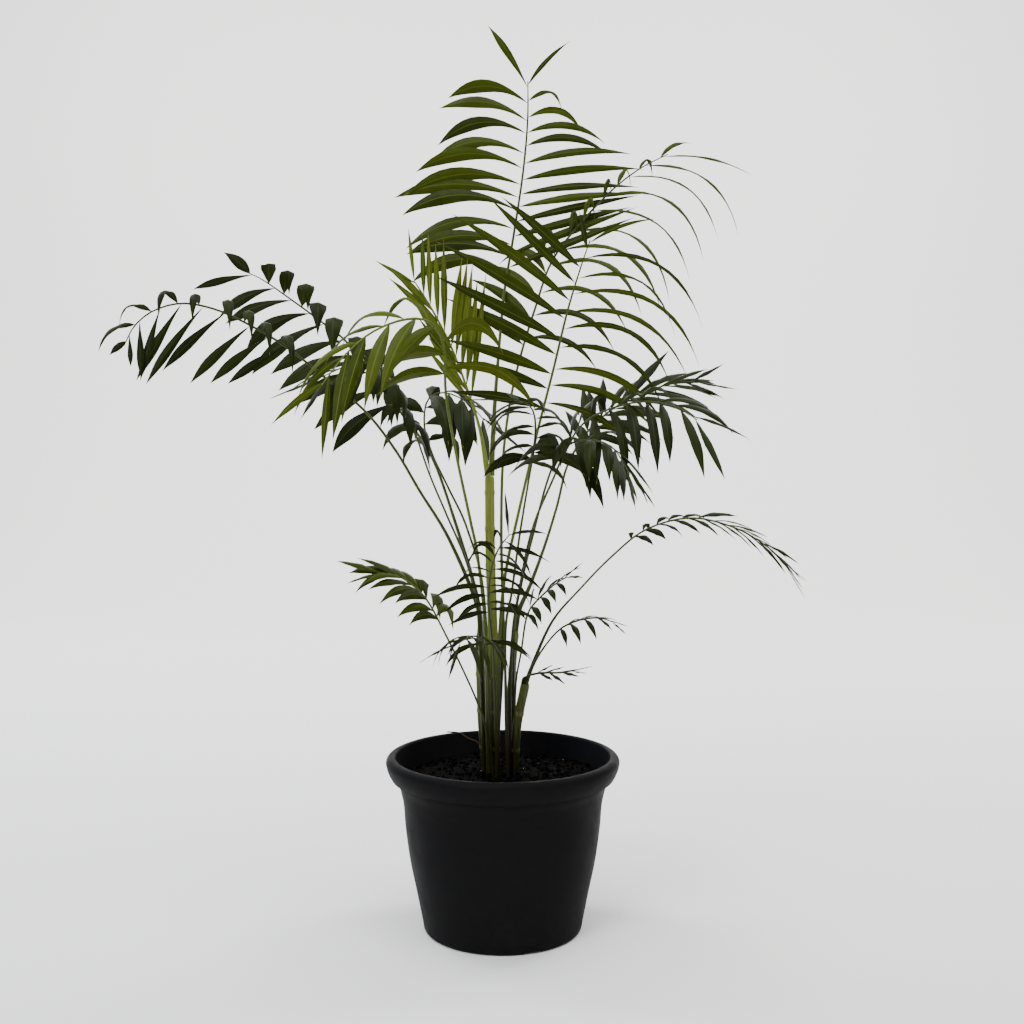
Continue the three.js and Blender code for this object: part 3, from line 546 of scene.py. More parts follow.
def pot_cutter():
    """Round rods for the drain holes and rounded bars for the notches, in one mesh."""
    bm = bmesh.new()
    for k in range(DRAIN_HOLES):
        turn = 2 * math.pi * (k + 0.5) / DRAIN_HOLES
        rod = bmesh.ops.create_cone(bm, cap_ends=True, segments=32, radius1=DRAIN_RADIUS,
                                    radius2=DRAIN_RADIUS, depth=CUTTER_LENGTH)["verts"]
        bmesh.ops.translate(bm, verts=rod, vec=(DRAIN_CIRCLE * math.cos(turn),
                                                DRAIN_CIRCLE * math.sin(turn), 0))
    for k in range(NOTCHES):
        others = set(bm.verts)
        bar = bmesh.ops.create_cube(bm, size=1)["verts"]
        bmesh.ops.scale(bm, verts=bar, vec=(CUTTER_LENGTH, NOTCH_WIDTH, 2 * NOTCH_HEIGHT))
        lengthwise = [edge for edge in {edge for vert in bar for edge in vert.link_edges}
                      if abs(edge.verts[0].co.x - edge.verts[1].co.x) > 1 * MM]
        bmesh.ops.bevel(bm, geom=lengthwise, offset=NOTCH_ROUNDING, affect="EDGES", segments=4,
                        profile=0.5, material=-1)
        bar = [vert for vert in bm.verts if vert not in others]
        bmesh.ops.translate(bm, verts=bar, vec=(BASE_RADIUS, 0, 0))
        turn = Quaternion((0, 0, 1), FIRST_NOTCH + k * 2 * math.pi / NOTCHES)
        bmesh.ops.rotate(bm, verts=bar, cent=(0, 0, 0), matrix=turn.to_matrix())
    return cutter_piece(bm)


def cut_piece(piece, cutter):
    """Applies a Boolean difference and removes the cutter."""
    boolean = piece.modifiers.new("openings", "BOOLEAN")
    boolean.object = cutter
    boolean.operation = "DIFFERENCE"
    boolean.solver = "EXACT"
    bpy.context.view_layer.update()
    graph = bpy.context.evaluated_depsgraph_get()
    shaped = bpy.data.meshes.new_from_object(piece.evaluated_get(graph))
    piece.modifiers.clear()
    piece.data = shaped
    bpy.data.objects.remove(cutter)


pot = finish_piece("nursery_pot", pot_mesh, [polypropylene], "pot_plastic", "pot")
cut_piece(pot, pot_cutter())
print("pot:", len(pot.data.polygons), "faces")

# %% [markdown]
# ## The potting mix
# The surface is a low mound. It is a spun section too, roughened with noise from the wall to
# the stems, and then strewn with crumbs: small rough balls of twenty faces each, since there
# are over a thousand of them. A few are white grains of perlite.

# %% Soil
SOIL_DROP = 5 * MM
SOIL_RINGS = 40
SOIL_STEPS = 120
SOIL_EDGE = 119.5 * MM
LUMP_WIDTH = 22 * MM
LUMP_HEIGHT = 2.2 * MM
CLOD_WIDTH = 6 * MM
CLOD_HEIGHT = 1.3 * MM
CRUMBS = 1500
CRUMB_SIZES = (1.5 * MM, 8 * MM)
PERLITE_GRAINS = 14
GRAIN_SIZES = (1.2 * MM, 3.2 * MM)
soil_random = random.Random(41)


def soil_height(x, y):
    """The height of the rough surface at a place. It is calmer at the wall of the pot."""
    radius = math.hypot(x, y)
    mound = SOIL_TOP - SOIL_DROP * (radius / SOIL_EDGE) ** 2
    lumps = noise.noise(Vector((x, y, 0)) / LUMP_WIDTH) * LUMP_HEIGHT
    clods = noise.noise(Vector((x, y, 0.3)) / CLOD_WIDTH) * CLOD_HEIGHT
    return mound + (lumps + clods) * min(1, (SOIL_EDGE - radius) / (12 * MM) + 0.25)


def make_soil():
    """A spun block of potting mix with a rough top."""
    bm = bmesh.new()
    under = [Vector((BASE_RADIUS - POT_WALL - GAP, 0, FLOOR_THICKNESS + GAP))]
    side = [point for point in wall_line(POT_WALL + GAP)
            if point.z < SOIL_TOP - SOIL_DROP - 8 * MM]
    top = [Vector((SOIL_EDGE * (1 - k / SOIL_RINGS), 0, SOIL_TOP)) for k in range(SOIL_RINGS)]
    verts = [bm.verts.new(point) for point in under + side + top]
    edges = [bm.edges.new(pair) for pair in zip(verts, verts[1:])]
    bmesh.ops.spin(bm, geom=verts + edges, cent=(0, 0, 0), axis=(0, 0, 1), angle=2 * math.pi,
                   steps=SOIL_STEPS, use_merge=True)
    bmesh.ops.remove_doubles(bm, verts=bm.verts, dist=0.01 * MM)
    bmesh.ops.holes_fill(bm, edges=[edge for edge in bm.edges if edge.is_boundary], sides=0)
    for vert in bm.verts:
        if vert.co.z > SOIL_TOP - 1 * MM:
            vert.co.z = soil_height(vert.co.x, vert.co.y)
    bmesh.ops.recalc_face_normals(bm, faces=bm.faces)
    return bm


def strew(count, sizes, reach):
    """Crumbs of potting mix, each a squashed and turned ball of twenty faces."""
    bm = bmesh.new()
    for _ in range(count):
        radius = reach * math.sqrt(soil_random.random())
        turn = soil_random.uniform(0, 2 * math.pi)
        x, y = radius * math.cos(turn), radius * math.sin(turn)
        size = sizes[0] + (sizes[1] - sizes[0]) * soil_random.random() ** 3
        crumb = bmesh.ops.create_icosphere(bm, subdivisions=1, radius=size / 2)["verts"]
        for vert in crumb:
            vert.co *= soil_random.uniform(0.75, 1.2)
        spin = Quaternion((soil_random.gauss(0, 1), soil_random.gauss(0, 1), 1), turn).to_matrix()
        flat = (1, soil_random.uniform(0.5, 1), soil_random.uniform(0.4, 0.8))
        bmesh.ops.scale(bm, verts=crumb, vec=flat)
        bmesh.ops.rotate(bm, verts=crumb, cent=(0, 0, 0), matrix=spin)
        bmesh.ops.translate(bm, verts=crumb, vec=(x, y, soil_height(x, y) + size * 0.15))
    return bm


crumbs = strew(CRUMBS, CRUMB_SIZES, SOIL_EDGE - 4 * MM)
grains = strew(PERLITE_GRAINS, GRAIN_SIZES, SOIL_EDGE - 6 * MM)
finish_piece("potting_soil", make_soil(), [potting_mix], "potting_mix", "soil")
finish_piece("soil_crumbs", crumbs, [potting_mix], "potting_mix")
finish_piece("perlite_grains", grains, [perlite], "potting_mix")
print("soil: a block,", CRUMBS, "crumbs and", PERLITE_GRAINS, "white grains")

# %% [markdown]
# ## The canes
# A cane is jointed like bamboo: every few centimetres the scar of a fallen leaf rings it, where
# it swells a little. The rings are told to the material by a value stored on the points, so
# that the pale band is exactly where the swelling is. Higher up the sheaths of the young stalks
# lie pressed together instead, which gives the section three folds and all but hides the rings.

# %% Canes
CANE_SIDES = 24
RING_SPACING = 44 * MM
RING_SWELL = 0.14
RING_HALF_WIDTH = 3.5 * MM
ROW_HEIGHT = 2 * MM
# How far below the soil one ring would fall, as a share of the spacing, and how strongly the
# scars show, in the open and among the folds.
BURIED_RING = 0.35
SCAR_SHOWS = 0.75
SCAR_AMONG_FOLDS = 0.2
FOLDED_FROM = 345 * MM
FOLD_DEPTH = 0.42
FOLDS_DEEPEN_OVER = 30 * MM
CROWN_HEIGHT = 3 * MM
CROWN_ROUNDING = 0.18
# Points of a cane's line, and its radius at the foot and at the top, in millimetres.
CANES = {
    "cane_main": {"path": [(-10, 2), (-12, 2, 344), (-15, 3, 440), (-16, 3, 540)],
                  "foot": 6.6, "top": 6},
    "cane_left": {"path": [(-20, 14), (-25, 12, 240), (-28, 12, 330)], "foot": 5.4, "top": 5.6},
    "cane_right": {"path": [(14, -6), (17, -7, 241), (27, -8, 292)], "foot": 5.2, "top": 5.6},
    "cane_back": {"path": [(9, 14), (9, 18, 265), (15, 24, 350)], "foot": 5.2, "top": 4.4},
}


def make_cane(cane):
    """A ringed cane from below the soil to its level top."""
    spine = stem_spine(cane["path"])
    soil_share = PLANTING_DEPTH / spine.length
    rows = int(spine.length / ROW_HEIGHT)
    rings, scars = [], []
    spread = Vector((0, 1, 0))
    for row in range(rows + 1):
        share = row / rows
        grown = max(0, (share - soil_share) / (1 - soil_share))
        from_ring = ((share * spine.length - PLANTING_DEPTH) / RING_SPACING + BURIED_RING) % 1
        distance = min(from_ring, 1 - from_ring) * RING_SPACING
        scar = max(0, 1 - distance / RING_HALF_WIDTH) if grown > 0 else 0
        plain = (cane["foot"] + (cane["top"] - cane["foot"]) * grown) * MM
        crown = math.sqrt(min(1, (1 - share) * spine.length / CROWN_HEIGHT))
        radius = plain * (1 + RING_SWELL * scar) * (1 - CROWN_ROUNDING + CROWN_ROUNDING * crown)
        along = Vector((0, 0, 1)) if row in (0, rows) else spine.direction(share)
        spread = (spread - along * spread.dot(along)).normalized()
        place = spine.place(share)
        folds = FOLD_DEPTH * min(1, max(0, (place.z - FOLDED_FROM) / FOLDS_DEEPEN_OVER))
        rings.append(stem_ring(place, spread, along.cross(spread), radius, CANE_SIDES, folds=folds))
        scars.append((SCAR_SHOWS if folds == 0 else SCAR_AMONG_FOLDS) * scar)
    bm = bmesh.new()
    grow_stem(bm, rings, scars, bm.verts.layers.float.new("scar"))
    bmesh.ops.recalc_face_normals(bm, faces=bm.faces)
    return bm


for name, cane in CANES.items():
    piece = finish_piece(name + "_ringed", make_cane(cane), [cane_skin], "cane_skin", name)
    print(piece.name, len(piece.data.polygons), "faces")

# %% [markdown]
# ## The table of fronds
# This is the heart of the plant: where each frond stands, the few points that its stalk and
# midrib pass through, where its upper face looks, and how its leaflets are held. Points are in
# millimetres, and the first is the foot, in the soil or on the cane named in on. Bare is the
# share of the length without leaflets, and play makes the leaflets more unlike one another.
#
# Each side has its leaflets' width and then their length, sweep, rise and droop, with three
# values for the first pair, the middle and the tip. Sweep leans a leaflet towards the tip of the
# frond, rise lifts it off the midrib's plane, droop turns its end to the ground, and tip
# shortens the last one.

# %% Fronds
def palm_frond(name, on=None, blade="short", leaf="old", play=1, **shape):
    """A frond. It grows from the soil, unless on names a cane."""
    return dict(name=name, on=on, blade=blade, leaf=leaf, play=play, **shape)


def leaves(width, length, sweep, rise, droop, **other):
    """The leaflets on one side of a midrib."""
    return dict(width=width, length=length, sweep=sweep, rise=rise, droop=droop, **other)


FRONDS = [
    palm_frond(
        "frond_tall", on="cane_main", blade="long", leaf="grown", seed=11, pairs=13, bare=0.51,
        stalk=2.1, face=(0, -1, 0.25),
        spine=[(-14, 5), (-11, 10, 608), (-6, 26, 682), (1, 48, 764), (11, 62, 828),
            (22, 74, 900), (28, 78, 951), (31, 78, 995), (31, 74, 1037)],
        left=leaves(20, (145, 172, 108), (18, 16, 44), (4, 4, 0), (0.5, 0.52, 0.5), blade="paddle",
            tip=0.8),
        right=leaves(11, (175, 150, 86), (30, 20, 42), (4, 4, 0), (0, 0.25, 0.95), tip=0.85)),
    palm_frond(
        "frond_right_tall", blade="long", leaf="grown", seed=12, pairs=10, bare=0.7, stalk=2.3,
        face=(0, -1, 0.1),
        spine=[(-7, -12), (-4, -15, 345), (3, -20, 423), (18, -26, 494), (40, -34, 589),
            (59, -45, 664), (75, -56, 731), (90, -68, 781), (100, -80, 810)],
        left=leaves(14, (105, 180, 110), (8, 22, 34), (6, 6, 0), (0.2, 0.14, 0.1), tip=0.4),
        right=leaves(9, (140, 215, 215), (12, 26, 40), (8, 8, 4), (0.55, 0.75, 0.8), tip=0.4)),
    palm_frond(
        "frond_right_arch", blade="long", leaf="grown", seed=13, pairs=11, bare=0.63, stalk=2.2,
        face=(-0.2, -1, 0.5),
        spine=[(-9, 17), (0, 15, 341), (-2, 18, 462), (0, 22, 559), (9, 28, 632), (22, 36, 689),
            (39, 44, 745), (60, 51, 805), (94, 58, 852), (136, 64, 897), (172, 71, 926),
            (208, 79, 946)],
        left=leaves(13, (105, 120, 70), (30, 62, 60), (10, 14, 6), (0.3, 0.8, 0.95)),
        right=leaves(9, (120, 240, 185), (24, 42, 46), (4, 8, 4), (0.6, 0.82, 0.9), tip=0.65)),
    palm_frond(
        "frond_young", on="cane_main", leaf="young", seed=14, pairs=10, bare=0.36, stalk=1.9,
        face=(0, -1, 0.2),
        spine=[(-18, 1), (-27, -18, 595), (-41, -34, 641), (-61, -48, 694), (-84, -60, 738),
            (-102, -66, 766)],
        left=leaves(9, (90, 90, 50), (70, 74, 76), (6, 8, 2), (0, 0.05, 0.1)),
        right=leaves(9, (145, 110, 60), (68, 62, 62), (6, 8, 2), (0, 0, 0.05))),
    palm_frond(
        "frond_front", blade="long", leaf="fresh", seed=15, pairs=8, bare=0.7, stalk=2.3,
        face=(0.3, -1, 0.6),
        spine=[(-17, -11), (-20, -14, 345), (-29, -24, 441), (-38, -34, 489), (-53, -62, 565),
            (-63, -98, 632), (-64, -130, 686), (-78, -150, 709), (-104, -165, 710),
            (-137, -180, 695), (-164, -192, 670), (-187, -200, 638)],
        left=leaves(16, (110, 128, 88), (25, 50, 66), (10, 10, 0), (0.45, 0.55, 0.5)),
        right=leaves(15, (155, 125, 85), (5, 38, 62), (0, -20, -20), (0.6, 0.8, 0.65))),
    palm_frond(
        "frond_far_left", on="cane_left", blade="long", seed=16, pairs=9, bare=0.67, stalk=2.0,
        face=(0, -1, 0.15),
        spine=[(-30, 10), (-30, 8, 379), (-64, 1, 463), (-100, -5, 523), (-128, -11, 571),
            (-163, -20, 617), (-210, -29, 657), (-255, -38, 693), (-297, -47, 718),
            (-333, -56, 734), (-369, -62, 740), (-400, -68, 731), (-421, -72, 713),
            (-432, -75, 690)],
        left=leaves(12, (85, 112, 50), (24, 28, 50), (0, 0, 0), (0.2, 0.28, 0.5), blade="paddle",
            tip=0.7),
        right=leaves(14, (120, 115, 58), (10, 20, 50), (62, 62, 20), (0.98, 0.98, 0.9), tip=0.45)),
    palm_frond(
        "frond_left_back", on="cane_left", blade="long", play=1.5, seed=17, pairs=10, bare=0.53,
        stalk=2.1, face=(0.1, -1, 0),
        spine=[(-26, 14), (-31, 21, 389), (-60, 42, 485), (-91, 66, 566), (-131, 91, 620),
            (-167, 112, 665), (-205, 136, 713), (-240, 150, 741), (-285, 164, 774),
            (-324, 175, 801), (-347, 178, 812)],
        left=leaves(22, (110, 125, 75), (25, 40, 55), (0, 0, 0), (0.6, 0.5, 0.4), blade="paddle"),
        right=leaves(32, (150, 160, 90), (2, 6, 40), (64, 64, 0), (0.98, 0.98, 0.9), tip=0.5)),
    palm_frond(
        "frond_mid_left", play=2, seed=18, pairs=9, bare=0.72, stalk=2.0, face=(0.2, -0.3, 1),
        spine=[(-22, -4), (-30, -4, 380), (-44, -10, 440), (-66, -22, 494), (-85, -40, 542),
            (-101, -62, 592), (-116, -86, 630), (-131, -104, 658), (-151, -120, 668),
            (-172, -134, 662), (-196, -142, 650)],
        left=leaves(17, (90, 100, 70), (20, 30, 60), (0, 0, 0), (0.8, 0.85, 0.5)),
        right=leaves(17, (90, 100, 70), (20, 30, 60), (12, 12, 0), (0.8, 0.8, 0.4))),
    palm_frond(
        "frond_mid_back", play=1.6, seed=19, pairs=8, bare=0.74, stalk=2.0, face=(0, -0.3, 1),
        spine=[(-16, 24), (-23, 34, 387), (-44, 50, 472), (-69, 70, 524), (-90, 86, 566),
            (-101, 94, 604), (-96, 98, 638), (-73, 94, 645), (-44, 82, 631), (-24, 70, 609)],
        left=leaves(23, (85, 115, 75), (35, 30, 40), (10, 0, 0), (0.9, 0.85, 0.6)),
        right=leaves(24, (110, 125, 80), (15, 20, 40), (10, 0, 0), (0.85, 0.85, 0.6))),
    palm_frond(
        "frond_right_back", on="cane_back", play=1.5, seed=20, pairs=13, bare=0.58, stalk=2.0,
        face=(0, -0.6, 1),
        spine=[(15, 24), (20, 31, 376), (33, 38, 404), (52, 56, 453), (68, 74, 502),
            (82, 92, 553), (109, 114, 596), (143, 132, 626), (180, 146, 647), (223, 157, 660),
            (255, 164, 664)],
        left=leaves(14, (80, 95, 58), (45, 66, 78), (14, 8, 2), (0.35, 0.3, 0.25)),
        right=leaves(14, (90, 100, 60), (40, 60, 76), (4, 0, 0), (0.5, 0.45, 0.3))),
    palm_frond(
        "frond_right_low", play=1.8, seed=21, pairs=10, bare=0.68, stalk=2.0, face=(0, -0.6, 1),
        spine=[(13, 4), (13, 8, 342), (23, 3, 421), (37, -10, 482), (60, -26, 538),
            (79, -42, 582), (101, -61, 608), (140, -80, 623), (172, -96, 625), (199, -106, 617),
            (217, -111, 604)],
        left=leaves(16, (95, 105, 75), (30, 38, 58), (15, 10, 0), (0.6, 0.7, 0.6)),
        right=leaves(17, (105, 120, 80), (10, 22, 48), (0, 0, 0), (0.85, 0.9, 0.7))),
    palm_frond(
        "frond_right_front", play=1.8, seed=22, pairs=9, bare=0.76, stalk=2.0, face=(0, 0.2, 1),
        spine=[(7, -15), (11, -13, 345), (23, -22, 417), (37, -42, 478), (52, -70, 537),
            (67, -96, 571), (92, -120, 582), (120, -140, 574), (138, -156, 544)],
        left=leaves(16, (85, 90, 55), (10, 26, 56), (5, 0, 0), (0.7, 0.7, 0.45)),
        right=leaves(17, (90, 95, 60), (10, 26, 56), (5, 0, 0), (0.7, 0.8, 0.5))),
    palm_frond(
        "frond_centre_front", play=1.8, seed=23, pairs=8, bare=0.78, stalk=1.9, face=(0, 0.2, 1),
        spine=[(6, -22), (3, -25, 347), (11, -34, 406), (20, -52, 473), (29, -80, 531),
            (36, -108, 576), (36, -134, 606), (28, -158, 620), (14, -178, 623)],
        left=leaves(15, (70, 90, 55), (10, 25, 50), (0, 0, 0), (0.7, 0.85, 0.6)),
        right=leaves(15, (70, 90, 60), (10, 25, 50), (5, 0, 0), (0.7, 0.85, 0.6))),
    palm_frond(
        "low_frond_left", leaf="grown", play=1.5, seed=24, pairs=8, bare=0.7, stalk=1.5,
        face=(0.2, -0.5, 1),
        spine=[(-15, -17), (-20, -20, 242), (-31, -22, 275), (-48, -30, 315), (-67, -40, 356),
            (-86, -53, 395), (-104, -63, 416), (-123, -70, 428), (-142, -76, 431)],
        left=leaves(12, (70, 76, 52), (60, 68, 74), (0, 0, 0), (0.5, 0.5, 0.4)),
        right=leaves(19, (118, 72, 54), (0, 64, 72), (10, 5, 0), (0.98, 0.5, 0.4))),
    palm_frond(
        "low_frond_front", play=2, seed=25, pairs=7, bare=0.78, stalk=1.5, face=(-0.2, -0.4, 1),
        spine=[(-11, -24), (-15, -29, 241), (-17, -38, 290), (-19, -50, 333), (-24, -66, 353),
            (-35, -84, 360), (-50, -98, 353)],
        left=leaves(9, (70, 85, 65), (0, 15, 40), (8, 5, 0), (0.65, 0.85, 0.7)),
        right=leaves(9, (60, 72, 55), (0, 15, 40), (8, 5, 0), (0.75, 0.9, 0.8))),
    palm_frond(
        "low_frond_centre", play=3, seed=26, pairs=11, bare=0.68, stalk=1.5, face=(0, -1, 0.5),
        spine=[(-7, -28), (-9, -33, 276), (-11, -38, 336), (-16, -50, 390), (-14, -62, 427),
            (-5, -76, 457), (9, -88, 476)],
        left=leaves(8, (60, 78, 60), (10, 25, 45), (25, 12, 5), (0.5, 0.75, 0.6)),
        right=leaves(8, (65, 80, 65), (10, 25, 45), (25, 12, 5), (0.5, 0.7, 0.5))),
    palm_frond(
        "low_frond_right", seed=27, pairs=6, bare=0.74, stalk=1.4, face=(-0.2, -0.4, 1),
        spine=[(14, -18), (15, -23, 287), (22, -31, 335), (29, -40, 379), (44, -48, 400),
            (61, -56, 416), (75, -62, 425)],
        left=leaves(9, (48, 52, 32), (25, 35, 55), (10, 5, 0), (0.3, 0.4, 0.4)),
        right=leaves(8, (40, 42, 30), (25, 35, 55), (0, 0, 0), (0.6, 0.6, 0.5))),
    palm_frond(
        "frond_right_long", on="cane_right", seed=28, pairs=13, bare=0.5, stalk=1.4,
        face=(0.2, -0.3, 1),
        spine=[(28.5, -5), (34, -4, 310), (59, -6, 366), (93, -8, 406), (129, -8, 443),
            (171, -6, 476), (225, -4, 490), (279, -2, 478), (321, 0, 453), (342, 3, 430)],
        left=leaves(9, (36, 60, 50), (45, 74, 80), (30, 10, 3), (0.75, 0.35, 0.2)),
        right=leaves(9, (34, 58, 48), (45, 72, 78), (0, 0, 0), (0.65, 0.45, 0.25))),
    palm_frond(
        "low_frond_right_arch", on="cane_right", seed=29, pairs=5, bare=0.5, stalk=1.3,
        face=(0, -0.2, 1),
        spine=[(28, -11.5), (35, -14, 313), (50, -20, 339), (70, -28, 362), (95, -36, 373),
            (114, -42, 375), (128, -46, 371)],
        left=leaves(7, (30, 34, 26), (30, 50, 68), (0, 0, 0), (0.4, 0.4, 0.2)),
        right=leaves(7, (38, 42, 26), (25, 40, 65), (-10, -10, 0), (0.7, 0.7, 0.3))),
    palm_frond(
        "low_frond_right_tiny", on="cane_right", seed=30, pairs=4, bare=0.35, stalk=1.3,
        face=(0, -0.2, 1),
        spine=[(24, -8.5), (27, -17, 302), (44, -20, 307), (66, -24, 308), (82, -30, 311)],
        left=leaves(7, (26, 32, 28), (58, 66, 74), (10, 5, 0), (0.1, 0.1, 0.1)),
        right=leaves(7, (24, 30, 28), (50, 62, 72), (-10, -5, 0), (0.3, 0.2, 0.1))),
]
print("fronds:", len(FRONDS))

# %% [markdown]
# ## From the table to leaflets
# Leaflets leave the midrib in pairs, with the right one a little further on. A seeded sequence
# gives each its own small differences, so the plant is the same on every run. Two leaflets that
# would grow into each other give way, as they do in life, by rising or sinking a little. The
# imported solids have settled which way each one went, so its tip is looked up in them. A leaflet
# that hangs right over creases at the bend like a ribbon, its upper side outwards.

# %% Leaflets of a frond
# How much further on the right leaflet of a pair stands, and how unevenly the pairs follow one
# another, as shares of their distance. The last pair stands just short of the tip.
STAGGER = 0.3
UNEVENNESS = 0.15
LAST_PAIR_AT = 0.995
# How much one leaflet differs from the next in its sizes, and in its angles in degrees.
SIZE_PLAY = 0.08
SWEEP_PLAY = 4
RISE_PLAY = 6
TURN_PLAY = 12
# The last pair leans forward by these degrees, hangs less and is narrower.
TIP_SWEEP = 60
TIP_DROOP = 0.4
TIP_WIDTH = 0.65
# The droop from which a leaflet hangs like a hook, and where on it the crease is complete.
HOOKED_FROM = 0.6
CREASED_AT = 0.35
# The degrees by which a leaflet can have given way, and how near its packed tip has to be.
BENDS = [0, 9, -9, 18, -18, 28, -28, 40, -40]
SAME_PLACE = 1.2 * MM
leaf_random = random.Random(7)


def sequence(seed):
    """Random numbers from -1 to 1, the same on every run."""
    state = seed * 7919 + 104729
    while True:
        state = (state * 1664525 + 1013904223) % 4294967296
        yield state / 2147483648 - 1


def between(values, u):
    """A value given at the start, the middle and the end, read at u from 0 to 1."""
    first, middle, last = values
    if u < 0.5:
        return first + (middle - first) * 2 * u
    return middle + (last - middle) * (2 * u - 1)


def leaflets_of(frond):
    """The leaflets of a frond, from the first pair to the tip."""
    jitter = sequence(frond["seed"])
    play = frond["play"]
    for pair in range(frond["pairs"]):
        last = pair == frond["pairs"] - 1
        for side in (-1, 1):
            shape = frond["left"] if side < 0 else frond["right"]
            step = pair + (STAGGER if side > 0 else 0) + UNEVENNESS * next(jitter)
            spot = min(max(step / (frond["pairs"] - 1 + STAGGER), 0), 1)
            kept = shape.get("tip", 1) if last else 1
            full = (TIP_WIDTH if last else 1) * (0.8 + 0.2 * math.sin(math.pi * min(1, spot + 0.2)))
            sweep = TIP_SWEEP if last else between(shape["sweep"], spot)
            droop = between(shape["droop"], spot) * (TIP_DROOP if last else 1)
            yield {
                "side": side,
                "blade": shape.get("blade", frond["blade"]),
                "share": frond["bare"] + (LAST_PAIR_AT - frond["bare"]) * spot,
                "length": (between(shape["length"], spot) * kept
                           * (1 + SIZE_PLAY * next(jitter)) * MM),
                "sweep": sweep + SWEEP_PLAY * play * next(jitter),
                "rise": between(shape["rise"], spot) + RISE_PLAY * play * next(jitter),
                "droop": min(1, max(0, droop + SIZE_PLAY * play * next(jitter))),
                "width": shape["width"] * full * (1 + SIZE_PLAY * next(jitter)) * MM,
                "turn": TURN_PLAY * next(jitter) * side,
            }


class Midline:
    """The line a leaflet grows along: it leaves the midrib one way and its end turns down."""

    def __init__(self, spine, face, leaflet, bend):
        along, up, right = spine.frame(leaflet["share"], face)
        sweep = math.radians(leaflet["sweep"])
        rise = math.radians(leaflet["rise"] + bend)
        flat = right * (leaflet["side"] * math.cos(sweep)) + along * math.sin(sweep)
        self.out = (flat * math.cos(rise) + up * math.sin(rise)).normalized()
        droop = leaflet["droop"]
        end = (self.out * (1 - droop) + Vector((0, 0, -droop))).normalized()
        self.root = spine.place(leaflet["share"])
        self.middle = self.root + self.out * (leaflet["length"] / 2)
        self.tip = self.middle + end * (leaflet["length"] / 2)
        self.across = up.cross(self.out).normalized()
        self.swing = self.out.rotation_difference(end)
        self.crease = self.out.cross(end).normalized()
        self.hooked = max(0, (droop - HOOKED_FROM) / (1 - HOOKED_FROM))
        if self.hooked > 0 and self.crease.dot(self.across) < 0:
            self.across = -self.across

    def place(self, t):
        return self.root * (1 - t) ** 2 + self.middle * (2 * t * (1 - t)) + self.tip * t ** 2

    def frame(self, t, twist):
        """Directions across the blade and out of its upper side."""
        forward = ((self.middle - self.root) * (1 - t) + (self.tip - self.middle) * t).normalized()
        wide = Quaternion(self.out, twist) @ self.across
        wide = Quaternion().slerp(self.swing, t) @ wide
        wide = wide.lerp(self.crease, self.hooked * min(1, t / CREASED_AT))
        wide = (wide - forward * wide.dot(forward)).normalized()
        return wide, forward.cross(wide).normalized()


def packed_bends(frond, spine):
    """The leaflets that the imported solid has, each with the angle by which it gave way."""
    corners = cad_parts[frond["name"]].data.vertices
    tree = KDTree(len(corners))
    for corner in corners:
        tree.insert(corner.co, corner.index)
    tree.balance()
    for leaflet in leaflets_of(frond):
        for bend in BENDS:
            line = Midline(spine, Vector(frond["face"]), leaflet, bend)
            if tree.find(line.tip)[2] < SAME_PLACE:
                yield {**leaflet, "bend": bend}
                break


# %% [markdown]
# ## A leaf blade from a grid
# Each blade starts as a flat grid. Its length runs along the leaflet. Its width is wrapped
# round the blade, over the upper side and back under the lower, so it closes to a thin body
# when its doubles are merged. The blade is narrow where it leaves the midrib, widest about half
# way and drawn out to a drip tip. It is folded along its midvein, a little wavy, and twists on
# its way out. A dozen steps along and eight round are enough for over 300 leaflets.

# %% Leaf blades
BLADE_STEPS = {"long": 12, "paddle": 12, "short": 9}
WIDEST_AT = {"long": 0.45, "paddle": 0.62, "short": 0.48}
BLADE_SIDES = 8
BLADE_THICKNESS = 0.5 * MM
FOLD = 0.07
WAVE = 0.5 * MM
WAVES = 2.5
TWIST_DEGREES = 24
HOOK_NARROWING = 0.3
NECK_WIDTH = 0.13
# The numbers of the two leaf sides among a frond's materials.
UPPER, LOWER = 1, 2


def blade_width(t, widest_at):
    """The share of the full width at a place on the blade. It ends in a point at both ends."""
    if t < 0.001 or t > 0.999:
        return 0
    shifted = t ** (math.log(0.5) / math.log(widest_at))
    return NECK_WIDTH * (1 - t) + 0.93 * math.sin(math.pi * shifted) ** 1.2


